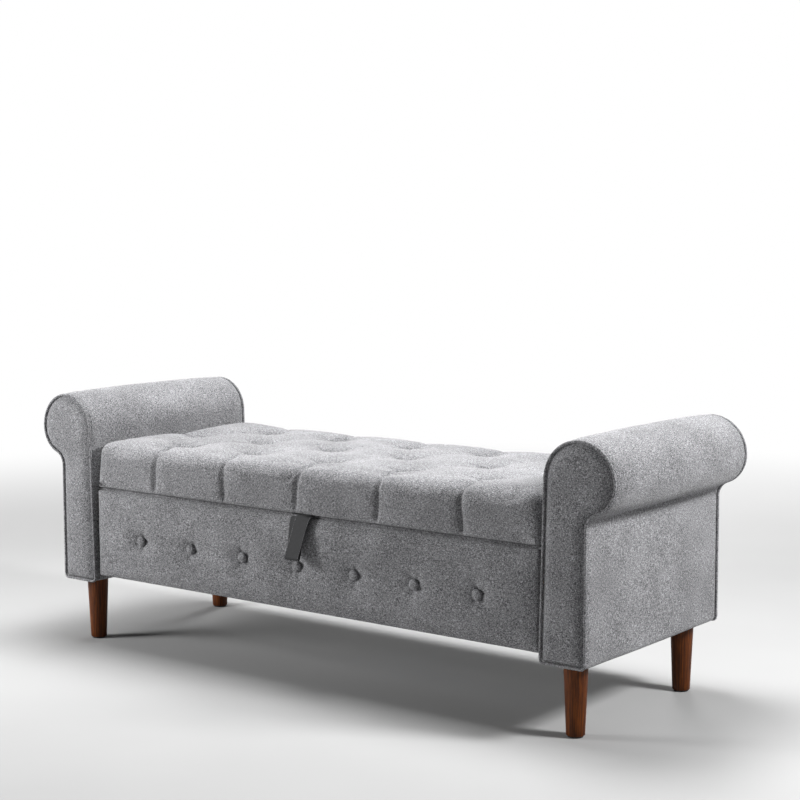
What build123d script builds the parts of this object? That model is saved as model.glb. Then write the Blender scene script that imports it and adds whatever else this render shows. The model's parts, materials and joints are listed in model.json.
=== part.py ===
from build123d import *
import math
import os

# Upholstered storage bench with rolled arms and a hinged, tufted seat lid.
# X runs along the bench, -Y is the front, +Z is up.  The origin is on the floor under the middle of
# the space that the bench takes up.  The pull loop stands out at the front, so the bench body is
# centred a little behind the origin.

# ---- driving dimensions, millimetres ----
front_y, back_y = -257.0, 285.0          # faces of the arm facings
body_y = (front_y + back_y) / 2

arm_bottom_z = 150.0
arm_inner_x, arm_outer_x = 632.0, 740.0  # arm post, where it is straight
roll_x, roll_z, roll_r = 722.5, 518.0, 81.5
roll_under_r = 66.0                      # tighter curve under the roll
neck_r = 32.0                            # hollow between the roll and the outer side
corner_r = 12.0                          # bottom corners of the arm

facing_t = 11.0                          # padded facing on each end of the arm
piping_r = 2.5
arm_pad_t = 8.0                          # wadding and cover around the arm
cover_in, roll_swell = 1.5, 2.5          # cover inside the seam line, and swelled at the roll
frame_t = 12.0                           # shaped end frames inside the arm
arm_board_t = 9.0
arm_board_x = 652.0                      # inner face of the upright board inside the arm
arm_board_tops = (480.0, 440.0)          # tops of the inner and the outer upright board
arm_base_t = 18.0
arm_base_rise, arm_base_gap = 2.0, 0.8   # base board to the bottom and the side of the cover
roll_core_z = 452.0                      # underside of the foam core of the roll
slip = 1.0                               # room between pieces that slide together
arm_bolt_inset, arm_bolt_zs = 45.0, (215.0, 325.0)
arm_bolt_r, bolt_head_r, bolt_head_t = 3.0, 7.0, 2.5

box_half = 630.0                         # half length of the storage box
back_face_y = 275.0                      # face of the padded back panel
box_bottom_z, rim_z = 167.0, 379.0       # underside and rim of the box boards
board_t, floor_t = 15.0, 12.0
panel_y = -249.0                         # face of the padded front panel
panel_pad_t, back_pad_t = 14.0, 12.0
panel_top_z = 376.0
panel_round, back_round = 6.0, 5.0       # outer edges of the padded panels
lining_t, cloth_t = 1.0, 1.0
lining_rim_gap = 4.0                     # top of the lining below the rim
dust_cloth_x = (648.0, 724.0)            # cloth under an arm, from side to side
cloth_inset, cloth_end_gap = 6.0, 4.0
bumper_xs, bumper_r = (-560.0, -190.0, 190.0, 560.0), 6.0
touch_gap = 0.1                          # between pieces that meet when the lid is shut

lid_half = 628.0
lid_front_y, lid_back_y = -248.0, 264.0
lid_z, lid_top_z = 382.0, 488.0
lid_board_edge = 10.0                    # cushion wrapped round the ends of the lid board
lid_board_front, lid_board_back = 8.0, 3.0
lid_round = 18.0                         # top edges of the cushion
lid_lining_half = 585.0

hinge_y, hinge_z = 268.5, 380.5          # lid hinge axis
hinge_xs = (-420.0, 0.0, 420.0)
leaf_t, leaf_w, hinge_len = 1.4, 20.5, 70.0
knuckle_r, pin_r = 3.5, 2.0
running_gap = 0.06
knuckle_count, knuckle_gap = 5, 0.15
leaf_gap = 0.4                           # between a leaf and the barrel
pin_head_r, pin_head_t = 2.8, 1.0
hinge_screw_step, hinge_screw_inset = 24.0, 7.0

stay_d = 120.0                           # length of each side of the stay linkage
stay_box_deg, stay_lid_deg = 25.0, 5.7   # fixed pivots, measured down from the horizontal
stay_t, stay_w = 2.0, 14.0
stay_pin_r, stay_head_r = 3.0, 5.0
stay_step = 3.0                          # from one link or bracket to the next, along X
bracket_t = 2.0
box_bracket_size, box_bracket_round = (50.0, 18.0), 6.0
box_bracket_screw_y, lid_bracket_screw_y = 18.0, 13.0
lid_bracket_screw_x, lid_bracket_reach = 595.0, 16.0
lid_bracket_half = (19.0, 9.0)           # half width of its flange and of its ear
ear_drop = 8.0                           # ear below the pivot
pin_play, head_t = 0.4, 1.2

button_r, button_h, button_round = 12.0, 7.0, 4.5
button_proud, button_gap = 1.0, 0.3
button_xs = [160.0 * i for i in range(-3, 4)]
button_z = 267.0
tuft_pitch, tuft_row = 219.0, 150.0
tuft_r, tuft_pocket_r, tuft_depth = 12.0, 15.0, 24.0

leg_x, leg_spread_y = 684.5, 214.0
leg_top_r, leg_foot_r = 25.0, 19.0
glide_r, glide_t, glide_round = 16.0, 3.0, 0.8
plate_size, plate_t, plate_round = 60.0, 2.5, 5.0
plate_screw_inset = 6.0
leg_edge, leg_top_edge = 1.5, 1.0        # eased edges at the foot and the top of a leg
leg_bolt_r, leg_bolt_grip = 4.0, 35.0

screw_r, screw_head_r, screw_head_t = 1.75, 3.4, 1.3
screw_len, sunk_angle = 13.0, 50.0

tab_x = (-6.0, 36.0)                     # pull loop, from side to side
tab_t = 2.2
tab_low_z, tab_front_y, tab_round = 288.0, -286.5, 8.0
strip_x = (-14.0, 46.0)                  # end of the loop, held under the lid
strip_gap, strip_in = 0.4, 7.0           # behind the panel face, and in past the front board

# ---- derived places ----
board_front_y = panel_y + panel_pad_t                 # front face of the front board
box_front_y = board_front_y + board_t                 # inside of the front board
board_back_y = back_face_y - back_pad_t               # rear face of the back board
box_back_y = board_back_y - board_t                   # inside of the back board
end_inner_x = box_half - board_t                      # inside of the end boards
arm_front_y, arm_back_y = front_y + facing_t, back_y - facing_t
lid_mid_y = (lid_front_y + lid_back_y) / 2
arm_bolt_end_x = arm_board_x + arm_board_t
arm_base_z = arm_bottom_z + arm_base_rise
leg_top_z = arm_base_z - plate_t
beyond = 760.0                           # past the outer side of an arm
leg_spots = [(sx * leg_x, body_y + sy * leg_spread_y) for sx in (-1, 1) for sy in (-1, 1)]
side_names = {-1: "left", 1: "right"}

os.makedirs("parts", exist_ok=True)


def save(piece, label):
    """Label a finished piece and write it as one STEP file."""
    piece.part.label = label
    export_step(piece.part, f"parts/{label}.step")


def block(x, y, z, mode=Mode.ADD):
    """A straight block between low and high x, y and z, inside the current part."""
    with BuildSketch(Plane.XY.offset(z[0])) as plan:
        with Locations(((x[0] + x[1]) / 2, (y[0] + y[1]) / 2)):
            Rectangle(x[1] - x[0], y[1] - y[0])
    extrude(plan.sketch, amount=z[1] - z[0], mode=mode)


def rod_x(spots, x, radius, mode=Mode.ADD):
    """Round rods along X, centred on (y, z) spots, from x[0] to x[1]."""
    with BuildSketch(Plane.YZ.offset(x[0])) as ends:
        with Locations(*spots):
            Circle(radius)
    extrude(ends.sketch, amount=x[1] - x[0], mode=mode)


def rod_z(spots, z, radius, mode=Mode.ADD):
    """Round rods along Z, centred on (x, y) spots, from z[0] to z[1]."""
    with BuildSketch(Plane.XY.offset(z[0])) as ends:
        with Locations(*spots):
            Circle(radius)
    extrude(ends.sketch, amount=z[1] - z[0], mode=mode)


def rod_y(spots, y, radius, mode=Mode.ADD):
    """Round rods along Y, centred on (x, z) spots, from y[0] to y[1]."""
    with BuildSketch(Plane.XZ.offset(-y[1])) as ends:
        with Locations(*spots):
            Circle(radius)
    extrude(ends.sketch, amount=y[1] - y[0], mode=mode)


def span(side, near, far):
    """Low and high x of a stretch given for the right side, on either side."""
    return (min(side * near, side * far), max(side * near, side * far))


def save_block(label, x, y, z):
    """A plain board as one piece."""
    with BuildPart() as piece:
        block(x, y, z)
    save(piece, label)


# ---- rolled arms ----
def arm_outline(side, flat_in, roll_in):
    """Arm profile as a closed line, inset by flat_in on the post and by roll_in on the roll.

    The inner edge leans out to meet the roll at a tangent.  The roll is two arcs that share their
    outermost point, and a hollow neck joins it to the outer side.
    """
    main_r, under_r = roll_r - roll_in, roll_under_r - roll_in
    under_x = roll_x + roll_r - roll_under_r
    hollow_r = neck_r + (flat_in + roll_in) / 2
    low_x, high_x, low_z = arm_inner_x + flat_in, arm_outer_x - flat_in, arm_bottom_z + flat_in

    def at(x, z):
        return (side * x, z)

    def on_roll(angle, x=roll_x, radius=main_r):
        return at(x + radius * math.cos(angle), roll_z + radius * math.sin(angle))

    # inner edge: tangent from the bottom corner to the roll
    reach = math.hypot(roll_x - low_x, roll_z - low_z)
    inner_angle = math.atan2(low_z - roll_z, low_x - roll_x) - math.acos(main_r / reach)
    inner_angle %= 2 * math.pi

    # neck: a circle that touches the outer side and the under curve
    neck_x = high_x + hollow_r
    neck_z = roll_z - math.sqrt((under_r + hollow_r) ** 2 - (neck_x - under_x) ** 2)
    neck_angle = math.atan2(neck_z - roll_z, neck_x - under_x)
    turn = (math.pi + neck_angle + math.pi) / 2
    neck_mid = at(neck_x + hollow_r * math.cos(turn), neck_z + hollow_r * math.sin(turn))
    neck_top = on_roll(neck_angle, under_x, under_r)

    FilletPolyline(
        on_roll(inner_angle), at(low_x, low_z), at(high_x, low_z), at(high_x, neck_z),
        radius=max(3.0, corner_r - flat_in),
    )
    ThreePointArc(at(high_x, neck_z), neck_mid, neck_top)
    ThreePointArc(neck_top, on_roll(neck_angle / 2, under_x, under_r), on_roll(0.0))
    ThreePointArc(on_roll(0.0), on_roll(inner_angle / 2), on_roll(inner_angle))


def arm_slab(side, y, flat_in, roll_in, mode=Mode.ADD):
    """A slab with the arm's profile, from y[0] to y[1]."""
    with BuildSketch(Plane.XZ.offset(-y[1])) as profile:
        with BuildLine():
            arm_outline(side, flat_in, roll_in)
        make_face()
    extrude(profile.sketch, amount=y[1] - y[0], mode=mode)


def arm_bolt_spots():
    """Bolts that join the box to an arm, as (y, z)."""
    return [(y, z) for y in (box_front_y + arm_bolt_inset, box_back_y - arm_bolt_inset)
            for z in arm_bolt_zs]


def make_arm(side):
    """All the pieces of one arm."""
    name = side_names[side]
    pad_in, core_in = cover_in + arm_pad_t, cover_in + 0.2 + arm_pad_t
    outer_x = arm_outer_x - core_in
    inside_y = (arm_front_y + frame_t, arm_back_y - frame_t)
    base_z = (arm_base_z, arm_base_z + arm_base_t)
    bolt_x = span(side, end_inner_x - slip, arm_bolt_end_x)

    with BuildPart() as end_frames:
        for low in (arm_front_y, inside_y[1]):
            arm_slab(side, (low, low + frame_t), core_in, core_in)
        block(span(side, end_inner_x, beyond), (arm_front_y, arm_back_y), (0, base_z[1]),
              Mode.SUBTRACT)
    save(end_frames, f"{name}_arm_end_frames")

    with BuildPart() as inner_board:
        block(span(side, arm_board_x, arm_bolt_end_x), inside_y, (base_z[1], arm_board_tops[0]))
        rod_x(arm_bolt_spots(), bolt_x, arm_bolt_r, Mode.SUBTRACT)
    save(inner_board, f"{name}_arm_inner_board")
    save_block(
        f"{name}_arm_outer_board", span(side, outer_x - arm_board_t, outer_x), inside_y,
        (base_z[1], arm_board_tops[1]),
    )

    with BuildPart() as base_board:
        block(span(side, arm_inner_x + core_in + arm_base_gap, outer_x),
              (arm_front_y, arm_back_y), base_z)
        spots = [spot for spot in leg_spots if spot[0] * side > 0]
        rod_z(spots, base_z, leg_bolt_r, Mode.SUBTRACT)
        rod_z(plate_screw_spots(spots), base_z, screw_r, Mode.SUBTRACT)
    save(base_board, f"{name}_arm_base_board")

    with BuildPart() as core:
        arm_slab(side, inside_y, core_in, core_in)
        block(span(side, end_inner_x, beyond), inside_y, (0, roll_core_z), Mode.SUBTRACT)
        block(span(side, end_inner_x, arm_bolt_end_x + slip), inside_y,
              (0, arm_board_tops[0] + 2 * slip), Mode.SUBTRACT)
    save(core, f"{name}_arm_roll_core")

    with BuildPart() as pad:
        arm_slab(side, (arm_front_y, arm_back_y), cover_in, -roll_swell)
        arm_slab(side, (arm_front_y, arm_back_y), pad_in, pad_in - 2 * slip, Mode.SUBTRACT)
        block(span(side, arm_inner_x + pad_in, arm_outer_x - pad_in), (arm_front_y, arm_back_y),
              (arm_bottom_z, arm_bottom_z + 2 * pad_in), Mode.SUBTRACT)
        rod_x(arm_bolt_spots(), bolt_x, arm_bolt_r, Mode.SUBTRACT)
    save(pad, f"{name}_arm_pad")

    for end, low in (("front", front_y), ("back", arm_back_y)):
        with BuildPart() as facing:
            arm_slab(side, (low, low + facing_t), 2 * piping_r + 0.2, 2 * piping_r + 0.2)
        save(facing, f"{name}_arm_{end}_facing")

    for end, y in (("front", arm_front_y - piping_r - 0.5), ("back", arm_back_y + piping_r + 0.5)):
        with BuildPart() as piping:
            with BuildLine(Plane.XZ.offset(-y)) as seam:
                arm_outline(side, piping_r, piping_r)
            start = Plane(origin=seam.wire() @ 0.1, z_dir=seam.wire() % 0.1)
            with BuildSketch(start):
                Circle(piping_r)
            sweep(path=seam.wire())
        save(piping, f"{name}_arm_{end}_piping")


# ---- storage box ----
def front_pocket_spots():
    """Front buttons, as (x, z)."""
    return [(x, button_z) for x in button_xs]


def make_front_panel():
    """Front board, its padded cover and the covered buttons set into it."""
    save_block("front_board", (-box_half, box_half), (board_front_y, box_front_y),
               (box_bottom_z, rim_z))

    with BuildPart() as cover:
        block((-box_half, box_half), (panel_y, board_front_y), (box_bottom_z, panel_top_z))
        fillet(cover.edges().group_by(Axis.Y)[0], panel_round)
        rod_y(front_pocket_spots(), (panel_y, panel_y + button_h - button_proud),
              button_r + button_gap, Mode.SUBTRACT)
    save(cover, "front_cover")

    with BuildPart() as buttons:
        rod_y(front_pocket_spots(), (panel_y - button_proud, panel_y + button_h - button_proud),
              button_r)
        fillet(buttons.faces().sort_by(Axis.Y)[: len(button_xs)].edges(), button_round)
    save(buttons, "front_buttons")


def make_back_panel():
    """Back board, drilled for the hinges, and its padded cover."""
    with BuildPart() as back:
        block((-box_half, box_half), (box_back_y, board_back_y), (box_bottom_z, rim_z))
        rod_z(hinge_screw_spots(), (rim_z - screw_len - 2 * slip, rim_z), screw_r, Mode.SUBTRACT)
    save(back, "back_board")

    with BuildPart() as cover:
        block((-box_half, box_half), (board_back_y, board_back_y + back_pad_t),
              (box_bottom_z, panel_top_z))
        fillet(cover.edges().group_by(Axis.Y)[-1], back_round)
    save(cover, "back_cover")


def make_box_ends(side):
    """End board, drilled for the arm bolts and the stay bracket."""
    with BuildPart() as end_board:
        block(span(side, end_inner_x, box_half), (box_front_y, box_back_y), (box_bottom_z, rim_z))
        rod_x(arm_bolt_spots(), span(side, end_inner_x, box_half), arm_bolt_r, Mode.SUBTRACT)
        rod_x(stay_screw_spots(), span(side, end_inner_x, end_inner_x + screw_len - slip), screw_r,
              Mode.SUBTRACT)
    save(end_board, f"{side_names[side]}_end_board")


def make_box_bottom():
    """Bottom board, the cloth under the bench and the lining inside the box."""
    save_block("bottom_board", (-end_inner_x, end_inner_x), (box_front_y, box_back_y),
               (box_bottom_z, box_bottom_z + floor_t))

    with BuildPart() as cloth:
        block((-box_half + cloth_end_gap, box_half - cloth_end_gap), (board_front_y, board_back_y),
              (box_bottom_z - cloth_t, box_bottom_z))
        for side in side_names:
            block(span(side, *dust_cloth_x), (arm_front_y + cloth_inset, arm_back_y - cloth_inset),
                  (arm_base_z - cloth_t, arm_base_z))
        for x, y in leg_spots:
            hole = plate_size / 2 + slip
            block((x - hole, x + hole), (y - hole, y + hole), (arm_bottom_z, arm_base_z),
                  Mode.SUBTRACT)
    save(cloth, "dust_cover")

    floor_z = box_bottom_z + floor_t
    with BuildPart() as lining:
        block((-end_inner_x, end_inner_x), (box_front_y, box_back_y),
              (floor_z, rim_z - lining_rim_gap))
        block((-end_inner_x + lining_t, end_inner_x - lining_t),
              (box_front_y + lining_t, box_back_y - lining_t), (floor_z + lining_t, rim_z),
              Mode.SUBTRACT)
        for side in side_names:
            wall_x = span(side, end_inner_x - lining_t, end_inner_x)
            rod_x(arm_bolt_spots(), wall_x, arm_bolt_r, Mode.SUBTRACT)
            rod_x(stay_screw_spots(), wall_x, screw_r, Mode.SUBTRACT)
    save(lining, "storage_lining")


def make_arm_bolts():
    """Bolts through the box ends into the arms, with broad heads inside the box."""
    inside_x = end_inner_x - lining_t
    with BuildPart() as bolts:
        for side in side_names:
            rod_x(arm_bolt_spots(), span(side, inside_x, arm_bolt_end_x), arm_bolt_r)
            rod_x(arm_bolt_spots(), span(side, inside_x - bolt_head_t, inside_x), bolt_head_r)
    save(bolts, "arm_bolts")


def make_rim_bumpers():
    """Rubber pads on the rim that the lid rests on."""
    y = (board_front_y + box_front_y) / 2
    with BuildPart() as bumpers:
        rod_z([(x, y) for x in bumper_xs], (rim_z, lid_z - touch_gap), bumper_r)
    save(bumpers, "rim_bumpers")


# ---- legs ----
def plate_screw_spots(spots):
    """Four screws at the corners of each leg plate, as (x, y)."""
    reach = plate_size / 2 - plate_screw_inset
    return [(x + dx * reach, y + dy * reach) for x, y in spots for dx in (-1, 1) for dy in (-1, 1)]


def make_legs():
    """Turned tapered legs, each on a plate, a hanger bolt and four screws."""
    for (x, y), label in zip(leg_spots, ("front_left", "back_left", "front_right", "back_right")):
        with BuildPart() as leg:
            with BuildSketch(Plane.XZ.offset(-y)):
                with BuildLine():
                    Polyline((x, glide_t), (x + leg_foot_r - leg_edge, glide_t),
                             (x + leg_foot_r, glide_t + leg_edge),
                             (x + leg_top_r, leg_top_z - 2 * leg_top_edge),
                             (x + leg_top_r - leg_top_edge, leg_top_z), (x, leg_top_z), close=True)
                make_face()
            revolve(axis=Axis((x, y, 0), (0, 0, 1)))
            rod_z([(x, y)], (leg_top_z - leg_bolt_grip, leg_top_z), leg_bolt_r, Mode.SUBTRACT)
        save(leg, f"leg_{label}")

    plate_z = (leg_top_z, leg_top_z + plate_t)
    with BuildPart() as plates:
        with BuildSketch(Plane.XY.offset(plate_z[0])):
            with Locations(*leg_spots):
                RectangleRounded(plate_size, plate_size, plate_round)
        extrude(amount=plate_t)
        rod_z(leg_spots, plate_z, leg_bolt_r, Mode.SUBTRACT)
        rod_z(plate_screw_spots(leg_spots), plate_z, screw_r, Mode.SUBTRACT)
    save(plates, "leg_plates")

    with BuildPart() as bolts:
        rod_z(leg_spots, (leg_top_z - leg_bolt_grip, plate_z[1] + arm_base_t - slip), leg_bolt_r)
    save(bolts, "leg_bolts")

    with BuildPart() as screws:
        spots = plate_screw_spots(leg_spots)
        rod_z(spots, (plate_z[0], plate_z[1] + arm_base_t - 3 * slip), screw_r)
        rod_z(spots, (plate_z[0] - screw_head_t, plate_z[0]), screw_head_r)
    save(screws, "leg_plate_screws")

    with BuildPart() as glides:
        rod_z(leg_spots, (0, glide_t), glide_r)
        fillet(glides.faces().group_by(Axis.Z)[0].edges(), glide_round)
    save(glides, "foot_glides")


# ---- lid ----
def tuft_spots():
    """Tufting buttons in three staggered rows, as (x, y)."""
    spots = []
    for row in (-1, 0, 1):
        xs = [tuft_pitch * i for i in range(-2, 3)] if row else [
            tuft_pitch * (i + 0.5) for i in range(-3, 3)]
        spots += [(x, lid_mid_y + row * tuft_row) for x in xs]
    return spots


def make_lid():
    """Lid board, the thick cushion wrapped round it, its buttons and the cloth under it."""
    board_x = lid_half - lid_board_edge
    board_y = (lid_front_y + lid_board_front, lid_back_y - lid_board_back)
    board_z = (lid_z, lid_z + board_t)

    with BuildPart() as lid_board:
        block((-board_x, board_x), board_y, board_z)
        rod_z(hinge_screw_spots(), (lid_z, lid_z + screw_len), screw_r, Mode.SUBTRACT)
        for side in side_names:
            rod_z(lid_bracket_screw_spots(side), (lid_z, lid_z + screw_len - slip), screw_r,
                  Mode.SUBTRACT)
    save(lid_board, "lid_board")

    with BuildPart() as cushion:
        block((-lid_half, lid_half), (lid_front_y, lid_back_y), (lid_z + lining_t / 2, lid_top_z))
        fillet(cushion.edges().group_by(Axis.Z)[-1], lid_round)
        block((-board_x, board_x), board_y, (lid_z, lid_z + board_t), Mode.SUBTRACT)
        rod_z(tuft_spots(), (lid_top_z - tuft_depth, lid_top_z), tuft_pocket_r, Mode.SUBTRACT)
    save(cushion, "lid_cushion")

    with BuildPart() as buttons:
        rod_z(tuft_spots(), (lid_top_z - tuft_depth, lid_top_z - tuft_depth + button_h), tuft_r)
        fillet(buttons.faces().group_by(Axis.Z)[-1].edges(), button_round)
    save(buttons, "lid_tuft_buttons")

    save_block("lid_lining", (-lid_lining_half, lid_lining_half),
               (box_front_y + 2 * slip, box_back_y - cloth_inset), (lid_z - lining_t, lid_z))


# ---- hinges ----
def hinge_screw_spots():
    """Three screws along each hinge leaf, as (x, y)."""
    y = hinge_y - leaf_w + hinge_screw_inset
    return [(x + i * hinge_screw_step, y) for x in hinge_xs for i in (-1, 0, 1)]


def make_leaves(label, knuckles, z, bore_r):
    """The leaves on one side of all the hinges, each with its own share of the knuckles."""
    step = hinge_len / knuckle_count
    with BuildPart() as leaves:
        for x in hinge_xs:
            ends = (x - hinge_len / 2, x + hinge_len / 2)
            barrel_y = hinge_y - knuckle_r - leaf_gap
            block(ends, (hinge_y - leaf_w, barrel_y), z)
            for i in knuckles:
                seat = (ends[0] + i * step + knuckle_gap, ends[0] + (i + 1) * step - knuckle_gap)
                block(seat, (barrel_y, hinge_y), z)
                rod_x([(hinge_y, hinge_z)], seat, knuckle_r)
            rod_x([(hinge_y, hinge_z)], ends, bore_r, Mode.SUBTRACT)
        rod_z(hinge_screw_spots(), z, screw_r, Mode.SUBTRACT)
        sink_z = z[1] if z[0] == rim_z else z[0]
        with BuildSketch(Plane.XY.offset(sink_z)):
            with Locations(*hinge_screw_spots()):
                Circle(screw_head_r)
        deep = leaf_t * (-1 if sink_z == z[1] else 1)
        extrude(amount=deep, taper=sunk_angle, mode=Mode.SUBTRACT)
    save(leaves, label)


def make_hinges():
    """Butt hinges: leaves on the rim, leaves under the lid, and the pins through both."""
    make_leaves("hinge_rim_leaves", (0, 2, 4), (rim_z, rim_z + leaf_t), pin_r)
    make_leaves("hinge_lid_leaves", (1, 3), (lid_z - leaf_t, lid_z), pin_r + running_gap)
    with BuildPart() as pins:
        for x in hinge_xs:
            rod_x([(hinge_y, hinge_z)], (x - hinge_len / 2, x + hinge_len / 2), pin_r)
            for end in (-1, 1):
                rod_x([(hinge_y, hinge_z)],
                      span(end, end * x + hinge_len / 2, end * x + hinge_len / 2 + pin_head_t),
                      pin_head_r)
    save(pins, "hinge_pins")


# ---- folding lid stays ----
def stay_point(degrees):
    """A pivot at stay_d from the hinge axis, that many degrees below the horizontal, as (y, z)."""
    angle = math.radians(degrees)
    return (hinge_y - stay_d * math.cos(angle), hinge_z - stay_d * math.sin(angle))


def stay_pivots():
    """Pivot on the box, pivot on the lid and the middle pivot: with the hinge axis, a rhombus."""
    box, lid = stay_point(stay_box_deg), stay_point(stay_lid_deg)
    return box, lid, (box[0] + lid[0] - hinge_y, box[1] + lid[1] - hinge_z)


def stay_screw_spots():
    """Screws of the box bracket, as (y, z)."""
    y, z = stay_pivots()[0]
    return [(y - box_bracket_screw_y, z), (y + box_bracket_screw_y, z)]


def lid_bracket_screw_spots(side):
    """Screws of the lid bracket, as (x, y)."""
    y = stay_pivots()[1][0]
    x = side * lid_bracket_screw_x
    return [(x, y - lid_bracket_screw_y), (x, y + lid_bracket_screw_y)]


def stay_link(x, start, end):
    """A flat bar with round ends between two (y, z) pivots."""
    with BuildSketch(Plane.YZ.offset(x[0])) as bar:
        with BuildLine():
            Line(start, end)
        trace(line_width=stay_w)
        with Locations(start, end):
            Circle(stay_w / 2)
    extrude(bar.sketch, amount=x[1] - x[0])


def make_stay(side):
    """One stay: a bracket on the box, two links and a bracket under the lid."""
    name = side_names[side]
    box, lid, middle = stay_pivots()
    wall_x = end_inner_x - lining_t
    bracket_x = wall_x - bracket_t
    lower_x = bracket_x - stay_step - pin_play - 0.1
    upper_x = lower_x - stay_step
    lid_bracket_x = upper_x - stay_step

    with BuildPart() as box_bracket:
        with BuildSketch(Plane.YZ.offset(span(side, bracket_x, wall_x)[0])):
            with Locations(box):
                RectangleRounded(*box_bracket_size, box_bracket_round)
        extrude(amount=bracket_t)
        rod_x(stay_screw_spots(), span(side, bracket_x, wall_x), screw_r, Mode.SUBTRACT)
        rod_x([box], span(side, lower_x - pin_play, bracket_x), stay_pin_r)
        rod_x([box], span(side, lower_x - pin_play - head_t, lower_x - pin_play), stay_head_r)
    save(box_bracket, f"{name}_stay_box_bracket")

    with BuildPart() as lower:
        bar = span(side, lower_x, lower_x + stay_t)
        stay_link(bar, box, middle)
        rod_x([box, middle], bar, stay_pin_r + running_gap, Mode.SUBTRACT)
    save(lower, f"{name}_stay_lower_link")

    with BuildPart() as upper:
        bar = span(side, upper_x, upper_x + stay_t)
        stay_link(bar, lid, middle)
        rod_x([lid], bar, stay_pin_r + running_gap, Mode.SUBTRACT)
        riveted_x = lower_x + stay_t + pin_play
        rod_x([middle], span(side, upper_x + stay_t, riveted_x), stay_pin_r)
        rod_x([middle], span(side, riveted_x, riveted_x + 2 * pin_play), stay_head_r)
    save(upper, f"{name}_stay_upper_link")

    with BuildPart() as lid_bracket:
        y, z = lid
        flange_y, ear_y = lid_bracket_half
        ear_x, head_x = lid_bracket_x + bracket_t, upper_x + stay_t + pin_play
        block(span(side, lid_bracket_x, ear_x), (y - ear_y, y + ear_y), (z - ear_drop, lid_z))
        block(span(side, lid_bracket_x - lid_bracket_reach, ear_x), (y - flange_y, y + flange_y),
              (lid_z - bracket_t, lid_z))
        rod_z(lid_bracket_screw_spots(side), (lid_z - bracket_t, lid_z), screw_r, Mode.SUBTRACT)
        rod_x([lid], span(side, ear_x, head_x), stay_pin_r)
        rod_x([lid], span(side, head_x, head_x + slip), stay_head_r)
    save(lid_bracket, f"{name}_stay_lid_bracket")


# ---- screws of the hinges and stays ----
def sunk_screws(spots, face_z, up):
    """Countersunk screws flush with a hinge leaf, pointing up or down."""
    rod_z(spots, (face_z, face_z + screw_len) if up else (face_z - screw_len, face_z), screw_r)
    with BuildSketch(Plane.XY.offset(face_z)) as heads:
        with Locations(*spots):
            Circle(screw_head_r)
    extrude(heads.sketch, amount=leaf_t if up else -leaf_t, taper=sunk_angle)


def make_fittings_screws():
    """Screws into the box and screws into the lid, one group for each."""
    wall_x = end_inner_x - lining_t - bracket_t
    with BuildPart() as box_screws:
        sunk_screws(hinge_screw_spots(), rim_z + leaf_t, False)
        for side in side_names:
            rod_x(stay_screw_spots(), span(side, wall_x, wall_x + screw_len), screw_r)
            rod_x(stay_screw_spots(), span(side, wall_x - screw_head_t, wall_x), screw_head_r)
    save(box_screws, "box_fitting_screws")

    with BuildPart() as lid_screws:
        sunk_screws(hinge_screw_spots(), lid_z - leaf_t, True)
        for side in side_names:
            spots = lid_bracket_screw_spots(side)
            flange_z = lid_z - bracket_t
            rod_z(spots, (flange_z, flange_z + screw_len), screw_r)
            rod_z(spots, (flange_z - screw_head_t, flange_z), screw_head_r)
    save(lid_screws, "lid_fitting_screws")


# ---- pull loop ----
def make_pull_tab():
    """Loop of folded fabric at the front of the lid, and the strip that holds it under the lid."""
    top, near_y = lid_z - 0.5, panel_y - 1.2
    rim = [(near_y, top), (near_y, top - 5), (-266.0, tab_low_z), (tab_front_y, tab_low_z),
           (tab_front_y, 345.0), (-262.0, top - 1)]      # side view, as (y, z)
    with BuildPart() as tab:
        with BuildSketch(Plane.YZ.offset(tab_x[0])) as loop:
            with BuildLine():
                Polyline(*rim, close=True)
            make_face()
            fillet(loop.vertices().group_by(Axis.Y)[0], tab_round)
            offset(amount=-tab_t, mode=Mode.SUBTRACT)
        extrude(amount=tab_x[1] - tab_x[0])
    save(tab, "pull_tab")

    save_block("pull_tab_strip", strip_x, (panel_y + strip_gap, board_front_y + strip_in),
               (lid_z - tab_t, lid_z - touch_gap))


for arm_side in side_names:
    make_arm(arm_side)
    make_box_ends(arm_side)
    make_stay(arm_side)
make_front_panel()
make_back_panel()
make_box_bottom()
make_arm_bolts()
make_rim_bumpers()
make_legs()
make_lid()
make_hinges()
make_fittings_screws()
make_pull_tab()
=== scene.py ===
"""Looks of an upholstered storage bench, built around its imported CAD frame.

Lengths are in metres, in the frame's own axes: +X along the bench, -Y to the front, +Z up.
"""

import json
import logging
import math
from dataclasses import dataclass
from enum import Enum
from typing import Any, Iterable, Sequence

import bmesh
import bpy
import numpy as np
from mathutils import Matrix, Vector, noise


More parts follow.
